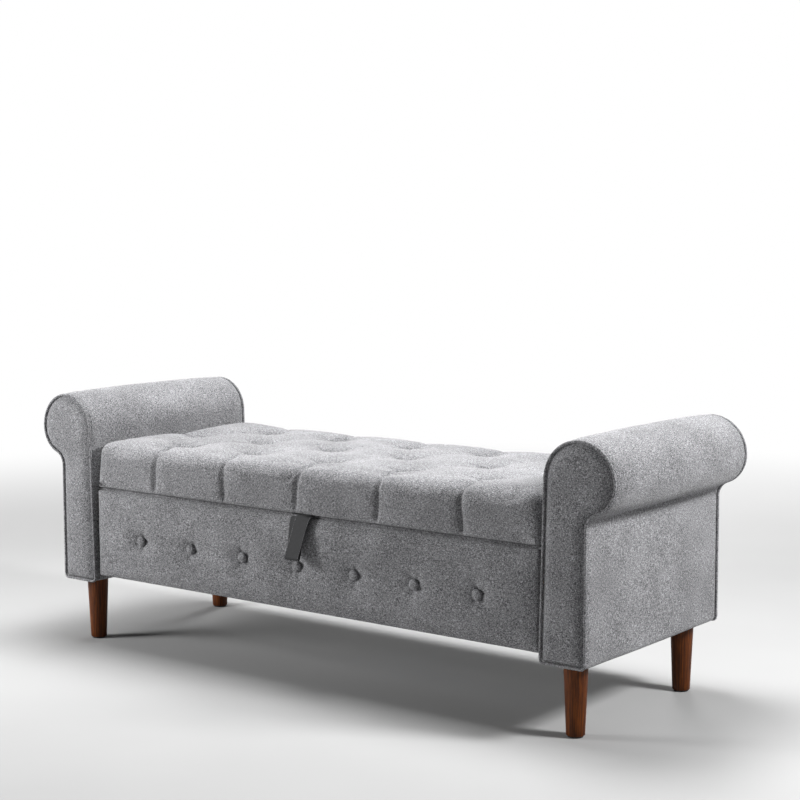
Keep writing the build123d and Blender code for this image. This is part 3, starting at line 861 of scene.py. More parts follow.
@dataclass
class TuftedLid:
    """The seat lid: a thick cushion drawn down by three staggered rows of buttons."""

    finishes: Finishes
    pitch: float = 219 * MM
    row_gap: float = 150 * MM
    cell: float = 8 * MM
    edge_r: float = 26 * MM
    foot_r: float = 4 * MM
    crease: Fold = Fold(4 * MM, 26 * MM, 3.5 * MM, 5 * MM)
    pleat: Fold = Fold(5 * MM, 24 * MM, 6.5 * MM, 5.5 * MM)
    overshoot: float = 10 * MM        # a pleat runs this far past the lid's edge
    body: str = "lid"

    def __post_init__(self) -> None:
        """Take the cushion's place from its CAD node, down to just under the lid board."""
        self.low, self.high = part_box("lid_cushion")
        self.low.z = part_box("lid_board")[0].z - 0.6 * MM
        self.mid_y = (self.low.y + self.high.y) / 2
        self.rows: list[list[tuple[float, float]]] = []
        for row in (-1, 0, 1):
            steps = [i + 0.5 for i in range(-3, 3)] if row == 0 else list(range(-2, 3))
            y = self.mid_y + row * self.row_gap
            self.rows.append([(self.pitch * step, y) for step in steps])

    @property
    def tufts(self) -> list[tuple[float, float]]:
        """Every tufting button's place, row by row."""
        return [spot for row in self.rows for spot in row]

    def creases(self) -> list[tuple[tuple[float, float], tuple[float, float]]]:
        """The diagonal folds between neighbouring tufts of different rows."""
        found = []
        for row in (self.rows[0], self.rows[2]):
            for a in row:
                found += [(a, b) for b in self.rows[1] if abs(a[0] - b[0]) < self.pitch * 0.6]
        return found

    def pleats(self) -> list[tuple[tuple[float, float], tuple[float, float]]]:
        """The straight folds from the outer tufts to the nearest edge of the lid."""
        over = self.overshoot
        front = [((x, y), (x, self.low.y - over)) for x, y in self.rows[0]]
        back = [((x, y), (x, self.high.y + over)) for x, y in self.rows[2]]
        ends = [((x, y), (math.copysign(self.high.x + over, x), y))
                for x, y in (self.rows[1][0], self.rows[1][-1])]
        return front + back + ends

    def pull_down(self, points: np.ndarray, dish: float, sharp: float) -> np.ndarray:
        """How far the tufts and folds draw the cover in at each place.

        Args:
            points: Places, one row each.
            dish: Share of the broad, soft hollows.
            sharp: Share of the tight folds and the button pockets.

        Returns:
            Depths in metres.
        """
        flat = points[:, :2]
        depth = np.zeros(len(points))
        for x, y in self.tufts:
            reach = np.hypot(flat[:, 0] - x, flat[:, 1] - y)
            angle = np.arctan2(flat[:, 1] - y, flat[:, 0] - x)
            petals = 1 + 0.16 * np.cos(6 * angle + 40 * x) * bell(reach - 0.03, 0.02)
            hollow = dish * 20 * MM * np.exp(-(reach / (30 * MM)) ** 1.2)
            pocket = sharp * 14 * MM * bell(reach, 16 * MM)
            wing = sharp * 7 * MM * bell(flat[:, 1] - y, 5 * MM) * bell(reach, 45 * MM)
            depth = np.maximum(depth, (hollow + pocket) * petals + wing)
        for start, end in self.creases():
            reach, share = segment_distance(flat, start, end)
            fade = 0.3 + 0.7 * np.abs(2 * share - 1) ** 1.4
            depth = np.maximum(depth, self.crease.depth(reach, dish, sharp) * fade)
        for number, (start, end) in enumerate(self.pleats()):
            lean = 4 * MM * np.sin(points[:, 2] * 25 + number * 2.1)
            shifted = flat.copy()
            shifted[:, 0] += lean
            reach, _ = segment_distance(shifted, start, end)
            depth = np.maximum(depth, self.pleat.depth(reach, dish, sharp))
        return depth

    def wrinkles(self, points: np.ndarray) -> np.ndarray:
        """Slack in the cover: broad waves, and upright gathers low on the front and at the ends.

        Args:
            points: Places, one row each.

        Returns:
            Heights in metres.
        """
        waves = 1.6 * MM * ripple(points, (0.16, 0.16, 0.16), 3.1)
        upright = ripple(points, (0.028, 0.5, 0.12), 7.7)
        low = bell(points[:, 2] - self.low.z, 42 * MM)
        near_end = bell(np.abs(points[:, 0]) - self.high.x, 110 * MM)
        return waves + upright * (2.4 * MM * low + 3.0 * MM * near_end * low + 0.4 * MM)

    def clear_board(self, points: np.ndarray) -> None:
        """Keep the lower edge of the cover outside the lid board.

        Args:
            points: Places, one row each, moved in place.
        """
        low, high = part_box("lid_board")
        room = 1.0 * MM
        edge = (points[:, 2] < high.z + room) & (points[:, 2] > self.low.z + 2 * room)
        for axis in (0, 1):
            near_low = edge & (points[:, axis] < low[axis] + 25 * MM)
            near_high = edge & (points[:, axis] > high[axis] - 25 * MM)
            points[near_low, axis] = np.minimum(points[near_low, axis], low[axis] - room)
            points[near_high, axis] = np.maximum(points[near_high, axis], high[axis] + room)

    def build_cushion(self) -> Piece:
        """The cushion: drawn in at its tufts, blown up by simulation, then folded and wrinkled.

        Returns:
            The cushion.
        """
        top = Vector((self.high.x, self.high.y, self.high.z + 2 * MM))
        points, faces = rounded_block(self.low, top, self.cell, self.edge_r, self.foot_r)
        piece = new_piece("lid_cushion_cover", points, faces)
        tidy_normals(piece)
        normal = outward(piece)
        points = places(piece)
        upper = np.clip((points[:, 2] - self.low.z) / (20 * MM), 0, 1)
        depth = self.pull_down(points, 1.0, 0.0) * upper
        points = points - normal * depth[:, None]
        move_to(piece, points)
        pocket = np.min([np.hypot(points[:, 0] - x, points[:, 1] - y) for x, y in self.tufts], 0)
        held = (points[:, 2] < self.low.z + 6 * MM) | (
            (pocket < 12 * MM) & (points[:, 2] > self.high.z - 40 * MM))
        swell(piece, held, 3.0, 5 * MM)
        subdivide(piece)
        points, normal = places(piece), outward(piece)
        upper = np.clip((points[:, 2] - self.low.z) / (12 * MM), 0, 1)
        height = self.wrinkles(points) - self.pull_down(points, 0.0, 1.0)
        points = points + normal * (height * upper)[:, None]
        limit = self.high.x + 2.5 * MM
        points[:, 0] = np.clip(points[:, 0], -limit, limit)
        points[:, 1] = np.clip(points[:, 1], self.low.y - 4 * MM, self.high.y + 2.5 * MM)
        points[:, 2] = np.maximum(points[:, 2], self.low.z)
        self.clear_board(points)
        move_to(piece, points)
        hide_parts("lid_cushion")
        self.finishes.dress(piece, "grey_fabric", self.body)
        return piece

    def build_buttons(self, button: Piece, tree: Tree) -> Piece:
        """Covered buttons at the bottom of the tufts.

        Args:
            button: Pattern button, facing +Z.
            tree: Tree that copies it on points.

        Returns:
            All the buttons as one piece.
        """
        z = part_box("lid_tuft_buttons")[0].z
        piece = new_piece("lid_tufting_buttons", [(x, y, z) for x, y in self.tufts], [])
        run_tree(piece, tree, {"Copy": button, "Spin": 3.0, "Seed": 5,
                               "Material": self.finishes.by_slot["grey_fabric"]})
        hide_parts("lid_tuft_buttons")
        self.finishes.dress(piece, "grey_fabric", self.body)
        return piece


# ---------------------------------------------------------------- box panels


@dataclass
class PaddedPanel:
    """A padded cover on the front or the back of the storage box."""

    finishes: Finishes
    node: str
    end: End
    button_spots: list[tuple[float, float]]
    cell: float = 6 * MM
    edge_r: float = 6.8 * MM
    end_gap: float = 2.0 * MM
    crown: float = 3.5 * MM

    def build(self) -> Piece:
        """The cover: crowned, drawn in at its buttons, with drag lines between them.

        Returns:
            The cover.
        """
        low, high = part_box(self.node)
        gap = Vector((self.end_gap, 0, 0))
        points, faces = rounded_block(low + gap, high - gap, self.cell, self.edge_r, self.edge_r)
        piece = new_piece(f"{self.node}_fabric", points, faces)
        tidy_normals(piece)
        points = places(piece)
        outer_y = low.y if self.end is End.FRONT else high.y
        depth = high.y - low.y
        share = 1 - np.abs(points[:, 1] - outer_y) / depth
        middle_z, half_z = (low.z + high.z) / 2, (high.z - low.z) / 2
        swelled = (1 - ((points[:, 2] - middle_z) / half_z) ** 2).clip(0)
        swelled *= (1 - (points[:, 0] / high.x) ** 12).clip(0)
        rise = self.crown * swelled
        points[:, 1] += self.end.value * rise * share
        move_to(piece, points)
        near = np.full(len(points), 1.0)
        for x, z in self.button_spots:
            near = np.minimum(near, np.hypot(points[:, 0] - x, points[:, 2] - z))
        held = (share < 0.7) | (near < 9 * MM)
        swell(piece, held, 2.0, 4 * MM, 12)
        subdivide(piece)
        points = places(piece)
        share = ((self.end.value * (points[:, 1] - outer_y) + depth) / depth).clip(0, 1)
        height = 0.9 * MM * ripple(points, (0.11, 1.0, 0.07), 5.3)
        height += 0.5 * MM * ripple(points, (0.03, 1.0, 0.05), 9.1)
        for number, (x, z) in enumerate(self.button_spots):
            dx, dz = points[:, 0] - x, points[:, 2] - z
            reach, angle = np.hypot(dx, dz), np.arctan2(dz, dx)
            folds = 1 + 0.3 * np.cos(5 * angle + number * 1.7) * bell(reach - 0.026, 0.018)
            height -= (6.0 * MM * bell(reach, 32 * MM) + 5.0 * MM * bell(reach, 16 * MM)) * folds
        points[:, 1] += self.end.value * height * share
        move_to(piece, points)
        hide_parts(self.node)
        self.finishes.dress(piece, "grey_fabric", "base")
        return piece


@dataclass
class CoveredButton:
    """A dome button covered in the bench's fabric, gathered over its rim."""

    radius: float = 12 * MM
    height: float = 9.0 * MM
    segments: int = 28

    def pattern(self) -> Piece:
        """A button that faces +Z with its rim at z = 0.

        Returns:
            The pattern, which is copied and then removed.
        """
        profile = [(0.80, 0.0), (0.93, 0.08), (1.0, 0.25), (0.985, 0.45), (0.90, 0.66),
                   (0.74, 0.83), (0.52, 0.93), (0.26, 0.985)]
        count = self.segments
        points: list[tuple[float, float, float]] = []
        for radial, high in profile:
            for i in range(count):
                angle = 2 * math.pi * i / count
                pucker = 1 + 0.018 * math.sin(7 * angle) * (1 - high)
                reach = radial * self.radius * pucker
                points.append((reach * math.cos(angle), reach * math.sin(angle),
                               high * self.height))
        faces = ring_faces(len(profile), count)
        last = len(points) - count
        base, crown = len(points), len(points) + 1
        points += [(0.0, 0.0, 0.0), (0.0, 0.0, self.height)]
        for i in range(count):
            j = (i + 1) % count
            faces += [(base, j, i), (crown, last + i, last + j)]
        piece = new_piece("button_pattern", points, faces)
        tidy_normals(piece)
        return piece


# ---------------------------------------------------------------- rolled arms


@dataclass(frozen=True)
class ArmProfile:
    """Outline of a rolled arm seen from the front, drawn for the right-hand side."""

    foot_z: float
    inner_x: float
    outer_x: float
    roll_x: float
    roll_z: float
    roll_r: float
    under_r: float = 66 * MM
    neck_r: float = 32 * MM
    corner_r: float = 12 * MM

    def points(self, flat_in: float, roll_in: float, tighten: float = 0.0,
               density: float = 1.0) -> np.ndarray:
        """The closed outline from the bottom inner corner, up the inside, round the roll and down.

        Args:
            flat_in: Inset of the straight post.
            roll_in: Inset of the roll.
            tighten: Taken off the radius of the hollow under the roll.
            density: Points for each 6 mm or so.

        Returns:
            Places as X and Z, one row each, the same number for the same density.
        """
        main_r, under_r = self.roll_r - roll_in, self.under_r - roll_in
        under_x = self.roll_x + self.roll_r - self.under_r
        low_x, high_x = self.inner_x + flat_in, self.outer_x - flat_in
        low_z = self.foot_z + flat_in
        corner = max(3 * MM, self.corner_r - flat_in)
        hollow = self.neck_r - tighten + (flat_in + roll_in) / 2
        reach = math.hypot(self.roll_x - low_x, self.roll_z - low_z)
        lean = math.atan2(low_z - self.roll_z, low_x - self.roll_x) - math.acos(main_r / reach)
        lean %= 2 * math.pi
        meet = (self.roll_x + main_r * math.cos(lean), self.roll_z + main_r * math.sin(lean))
        neck_x = high_x + hollow
        neck_z = self.roll_z - math.sqrt((under_r + hollow) ** 2 - (neck_x - under_x) ** 2)
        turn = math.atan2(neck_z - self.roll_z, neck_x - under_x)

        def line(a: tuple[float, float], b: tuple[float, float], count: int) -> list:
            """Even points from a up to but not b."""
            return [(a[0] + (b[0] - a[0]) * i / count, a[1] + (b[1] - a[1]) * i / count)
                    for i in range(count)]

        def arc(x: float, z: float, radius: float, start: float, stop: float, count: int) -> list:
            """Even points round an arc from start up to but not stop."""
            angles = [start + (stop - start) * i / count for i in range(count)]
            return [(x + radius * math.cos(t), z + radius * math.sin(t)) for t in angles]

        def n(count: int) -> int:
            """A count of points at this density."""
            return max(2, round(count * density))

        tilt = math.tau - lean
        path = arc(low_x + corner, low_z + corner, corner, 1.5 * math.pi, tilt, n(4))
        path += line((low_x, low_z + corner), meet, n(58))
        path += arc(self.roll_x, self.roll_z, main_r, lean, 0.0, n(44))
        path += arc(under_x, self.roll_z, under_r, 0.0, turn, n(14))
        path += arc(neck_x, neck_z, hollow, turn + math.pi, math.pi, n(8))
        path += line((high_x, neck_z), (high_x, low_z + corner), n(46))
        path += arc(high_x - corner, low_z + corner, corner, 0.0, -math.pi / 2, n(4))
        path += line((high_x - corner, low_z), (low_x + corner, low_z), n(12))
        return np.array(path)


@dataclass
class RolledArm:
    """One arm: the cover round its roll and post, two padded facings and their piping."""

    finishes: Finishes
    side: Side
    piping_r: float = 2.5 * MM
    pad_t: float = 9 * MM
    proud: float = 5 * MM             # stuffing pushes both facings out past the frame
    cell: float = 6 * MM

    def __post_init__(self) -> None:
        """Take the arm's outline and ends from its CAD nodes."""
        word = self.side.word
        low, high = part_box(f"{word}_arm_front_piping")
        sign = self.side.value
        inner, outer = sorted((abs(low.x), abs(high.x)))
        roll_r = 81.5 * MM
        self.profile = ArmProfile(low.z, inner, outer - 64 * MM, outer - roll_r,
                                  high.z - roll_r, roll_r)
        self.sign = sign
        pad_low, pad_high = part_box(f"{word}_arm_pad")
        self.front_y, self.back_y = pad_low.y - self.proud, pad_high.y + self.proud

    def in_place(self, flat: np.ndarray, y: np.ndarray | float) -> np.ndarray:
        """Turn profile points to places on this side of the bench."""
        return np.column_stack([self.sign * flat[:, 0], np.broadcast_to(y, len(flat)), flat[:, 1]])

    def build_cover(self) -> Piece:
        """The cover: pulled tight at both facings, fuller between them, creased under the roll.

        Returns:
            The cover.
        """
        length = self.back_y - self.front_y
        near = np.array([0.0, 1.5, 3.0, 5.0, 8.0]) * MM
        middle = np.linspace(14 * MM, length - 14 * MM, round(length / self.cell) - 4)
        stations = np.r_[near, middle, (length - near)[::-1]]
        rows = len(stations) - 1
        outer, inner = [], []
        for station in stations:
            share = station / length
            full = math.sin(math.pi * share) ** 0.5
            edge = min(station, length - station)
            tuck = 4.8 * MM * math.exp(-edge / (3.2 * MM))
            tighten = 26 * MM * full
            y = self.front_y + station
            ring = self.profile.points(1.5 * MM - 1.2 * MM * full + tuck,
                                       0.6 * MM - 6.0 * MM * full + tuck, tighten)
            outer.append(self.in_place(ring, y))
            inner.append(self.in_place(self.profile.points(self.pad_t, self.pad_t), y))
        count = len(outer[0])
        shift = (rows + 1) * count
        faces = ring_faces(rows + 1, count)
        faces += [quad[::-1] for quad in ring_faces(rows + 1, count, shift)]
        for r in (0, rows):
            for i in range(count):
                j = (i + 1) % count
                faces.append((r * count + i, r * count + j, shift + r * count + j,
                              shift + r * count + i))
        piece = new_piece(f"{self.side.word}_arm_cover", np.vstack(outer + inner), faces)
        tidy_normals(piece)
        points, normal = places(piece), outward(piece)
        along = (points[:, 1] - self.front_y) / (self.back_y - self.front_y)
        ends = bell(along, 0.2) + bell(1 - along, 0.2)
        high = np.clip((points[:, 2] - 0.43) / 0.05, 0, 1)
        mirrored = points * np.array([self.sign, 1, 1])
        gathers = ripple(mirrored, (0.2, 0.018, 0.09), 2.4) * ends * high
        height = 0.9 * MM * gathers + 0.9 * MM * ripple(mirrored, (0.1, 0.12, 0.1), 6.2)
        move_to(piece, points + normal * height[:, None])
        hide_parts(f"{self.side.word}_arm_pad")
        self.finishes.dress(piece, "grey_fabric", "base")
        return piece

    def build_facing(self, end: End) -> Piece:
        """A padded facing: crowned in the middle and tucked in beside its piping.

        Args:
            end: Front or back of the arm.

        Returns:
            The facing.
        """
        node = f"{self.side.word}_arm_{end.word}_facing"
        low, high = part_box(node)
        inset = 2 * self.piping_r
        ring = self.profile.points(inset, inset, density=1.4)
        corner = np.argmin(np.hypot(ring[:, 0] - ring[:, 0].min(), ring[:, 1] - ring[:, 1].min()))
        top = int(np.argmax(ring[:, 1]))
        foot_out = int(np.argmin(np.hypot(ring[:, 0] - (self.profile.outer_x - inset),
                                          ring[:, 1] - ring[:, 1].min())))
        widest = int(np.argmax(ring[:, 0]))
        level = int(np.argmin(np.abs(ring[:top, 1] - ring[widest, 1])))
        rows_low, rows_high, columns = 64, 26, 24

        def resample(chain: np.ndarray, count: int) -> np.ndarray:
            """The same chain with evenly spaced points."""
            step = np.r_[0, np.cumsum(np.linalg.norm(np.diff(chain, axis=0), axis=1))]
            even = np.linspace(0, step[-1], count)
            return np.column_stack([np.interp(even, step, chain[:, k]) for k in (0, 1)])

        left = np.vstack([resample(ring[corner:level + 1], rows_low),
                          resample(ring[level:top + 1], rows_high)[1:-1]])
        right = np.vstack([resample(ring[widest:foot_out + 1][::-1], rows_low),
                           resample(ring[top:widest + 1][::-1], rows_high)[1:-1]])
        spread = (1 - np.cos(np.linspace(0, math.pi, columns + 1))) / 2
        grid = left[:, None, :] + (right - left)[:, None, :] * spread[None, :, None]
        flat = grid.reshape(-1, 2)
        gap = np.min(np.hypot(flat[:, None, 0] - ring[None, :, 0],
                              flat[:, None, 1] - ring[None, :, 1]), axis=1)
        back = self.front_y if end is End.FRONT else self.back_y
        seam_y = back + end.value * 1.0 * MM
        puff = (high.y - low.y - 1.4 * MM) * (1 - np.exp(-(gap / (12 * MM)) ** 1.5))
        shape = np.column_stack([flat[:, 0], np.zeros(len(flat)), flat[:, 1]])
        puff += (0.8 * MM * ripple(shape, (0.05, 1, 0.09), 4.4 + self.sign + end.value)
                 * (gap / (20 * MM)).clip(0, 1))
        face = self.in_place(flat, 0.0)
        face[:, 1] = seam_y + end.value * puff
        rear = self.in_place(flat, back)
        rows, width = len(left), columns + 1
        faces = []
        for r in range(rows - 1):
            for c in range(columns):
                k = r * width + c
                quad = (k, k + 1, k + width + 1, k + width)
                faces += [quad, tuple(len(flat) + v for v in quad[::-1])]
        rim = (list(range(width)) + [r * width + columns for r in range(1, rows)]
               + [(rows - 1) * width + c for c in range(columns - 1, -1, -1)]
               + [r * width for r in range(rows - 2, 0, -1)])
        for a, b in zip(rim, rim[1:] + rim[:1]):
            faces.append((a, b, len(flat) + b, len(flat) + a))
        piece = new_piece(f"{node}_fabric", np.vstack([face, rear]), faces)
        tidy_normals(piece)
        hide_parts(node)
        self.finishes.dress(piece, "grey_fabric", "base")
        return piece

    def build_piping(self, end: End, tree: Tree) -> Piece:
        """Fabric-covered cord sewn all round a facing.

        Args:
            end: Front or back of the arm.
            tree: Tree that turns a path into a cord.

        Returns:
            The piping.
        """
        node = f"{self.side.word}_arm_{end.word}_piping"
        low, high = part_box(node)
        ring = self.profile.points(self.piping_r, self.piping_r, density=2.0)
        path = self.in_place(ring, (low.y + high.y) / 2 + end.value * self.proud)
        piece = path_piece(f"{node}_cord", [path], closed=True)
        run_tree(piece, tree, {"Radius": self.piping_r + 0.5 * MM, "Sides": 12,
                               "Pucker": 0.5 * MM,
                               "Material": self.finishes.by_slot["grey_fabric"]})
        tidy_normals(piece)
        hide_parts(node)
        self.finishes.dress(piece, "grey_fabric", "base")
        return piece


# ---------------------------------------------------------------- legs


@dataclass
class TurnedLeg:
    """A tapered round leg, turned on a lathe."""

    finishes: Finishes
    node: str
    segments: int = 64

    def build(self) -> Piece:
        """The leg, with eased edges at its top and foot.

        Returns:
            The leg.
        """
        low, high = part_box(self.node)
        x, y = (low.x + high.x) / 2, (low.y + high.y) / 2
        top_r = (high.x - low.x) / 2
        foot_r = top_r - 6 * MM
        profile = [(foot_r - 3 * MM, low.z), (foot_r - 1.2 * MM, low.z + 0.4 * MM),
                   (foot_r, low.z + 2 * MM)]
        steps = 12
        for i in range(1, steps):
            share = i / steps
            profile.append((foot_r + (top_r - foot_r) * share,
                            low.z + 2 * MM + (high.z - low.z - 4 * MM) * share))
        profile += [(top_r, high.z - 2 * MM), (top_r - 1 * MM, high.z)]
        piece = lathed(f"{self.node}_turned", profile, self.segments, x, y)
        tidy_normals(piece)
        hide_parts(self.node)
        self.finishes.dress(piece, "walnut_stained_wood", "base")
        return piece


# ---------------------------------------------------------------- pull loop


@dataclass
class PullLoop:
    """Folded ribbon that comes out of the gap under the lid, for lifting it."""

    finishes: Finishes
    width: float = 40 * MM
    thickness: float = 2.2 * MM
    lean: float = 6.0                 # degrees that each ply leans to one side

    def route(self) -> tuple[np.ndarray, np.ndarray]:
        """The ribbon's centreline and the direction across it at each point.

        Returns:
            Places and unit directions, one row each.
        """
        marks = np.array([
            (26.0, -246.0, 379.2), (25.8, -252.0, 378.8), (24.8, -258.5, 371.0),
            (22.5, -266.0, 350.0), (19.5, -275.0, 322.0), (16.5, -281.5, 300.0),
            (15.5, -283.6, 292.0), (15.0, -281.5, 287.5), (14.5, -277.6, 291.0),
            (13.0, -272.0, 306.0), (10.0, -264.0, 336.0), (7.5, -257.0, 362.0),
            (6.5, -253.0, 373.5), (6.0, -247.0, 376.9)]) * MM
        fine = 8
        ends = np.vstack([2 * marks[0] - marks[1], marks, 2 * marks[-1] - marks[-2]])
        line, across = [], []
        for k in range(1, len(ends) - 2):
            a, b, c, d = ends[k - 1:k + 3]
            for i in range(fine):
                t = i / fine
                line.append(0.5 * (2 * b + (c - a) * t + (2 * a - 5 * b + 4 * c - d) * t ** 2
                                   + (3 * b - a - 3 * c + d) * t ** 3))
        line.append(marks[-1])
        for share in np.linspace(-1, 1, len(line)):
            skew = math.radians(self.lean * share)
            across.append((math.cos(skew), 0.0, math.sin(skew)))
        return np.array(line), np.array(across)

    def ribbon(self, name: str, line: np.ndarray, across: np.ndarray, width: float,
               thickness: float) -> Piece:
        """A ribbon with rounded edges along a line.

        Args:
            name: Piece name.
            line: Centreline.
            across: Direction across the ribbon at each point.
            width: Width of the ribbon.
            thickness: Thickness of the ribbon.

        Returns:
            The ribbon.
        """
        tangent = np.gradient(line, axis=0)
        tangent /= np.linalg.norm(tangent, axis=1, keepdims=True)
        through = np.cross(tangent, across)
        through /= np.linalg.norm(through, axis=1, keepdims=True)
        half_w, half_t, edge = width / 2, thickness / 2, 5
        section = []
        for sign in (1, -1):
            section += [(f * sign * (half_w - half_t), sign * half_t)
                        for f in np.linspace(-1, 1, 11)]
            for i in range(1, edge):
                angle = math.pi / 2 - math.pi * i / edge
                section.append((sign * (half_w - half_t + half_t * math.cos(angle)),
                                sign * half_t * math.sin(angle)))
        count = len(section)
        points = [line[i] + across[i] * u + through[i] * v
                  for i in range(len(line)) for u, v in section]
        faces = ring_faces(len(line), count)
        faces.append(tuple(range(count)))
        faces.append(tuple((len(line) - 1) * count + i for i in range(count - 1, -1, -1)))
        piece = new_piece(name, points, faces)
        tidy_normals(piece)
        return piece

    def build(self) -> list[Piece]:
        """The loop, and the end of it that is held flat under the lid.

        Returns:
            Both pieces.
        """
        line, across = self.route()
        loop = self.ribbon("pull_loop_ribbon", line, across, self.width, self.thickness)
        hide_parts("pull_tab")
        self.finishes.dress(loop, "dark_grey_ribbon", "pull_loop")
        low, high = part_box("pull_tab_strip")
        ys = np.linspace(low.y, high.y, 8)
        flat = np.column_stack([np.full(8, (low.x + high.x) / 2), ys, np.full(8, high.z - 1 * MM)])
        held = self.ribbon("pull_loop_held_end", flat, np.tile((1.0, 0.0, 0.0), (8, 1)),
                           high.x - low.x, 1.8 * MM)
        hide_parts("pull_tab_strip")
        self.finishes.dress(held, "dark_grey_ribbon", "lid")
        return [loop, held]

    def build_stitches(self, tree: Tree, stitch: Piece) -> Piece:
        """Topstitching close to both edges of the loop, in the pale bench fabric: real stitching,
        drawn pale as painted highlight for the light along the ribbon's edges.

        Args:
            tree: Tree that puts copies along a path.
            stitch: One stitch.

        Returns:
            The stitches, which also carry the painted edge highlight.
        """
        line, across = self.route()
        tangent = np.gradient(line, axis=0)
        through = np.cross(tangent, across)
        through /= np.linalg.norm(through, axis=1, keepdims=True)
        edge = self.width / 2 - 2 * MM
        paths = [line + across * u + through * v
                 for u in (-edge, edge) for v in (-self.thickness / 2, self.thickness / 2)]
        piece = path_piece("pull_loop_stitches", paths)
        # the pale fabric on the stitches is partly painted highlight along the ribbon's edges
        run_tree(piece, tree, {"Copy": stitch, "Pitch": 3.6 * MM,
                               "Material": self.finishes.by_slot["grey_fabric"]})
        self.finishes.dress(piece, "grey_fabric", "pull_loop")
        return piece


# ---------------------------------------------------------------- linings


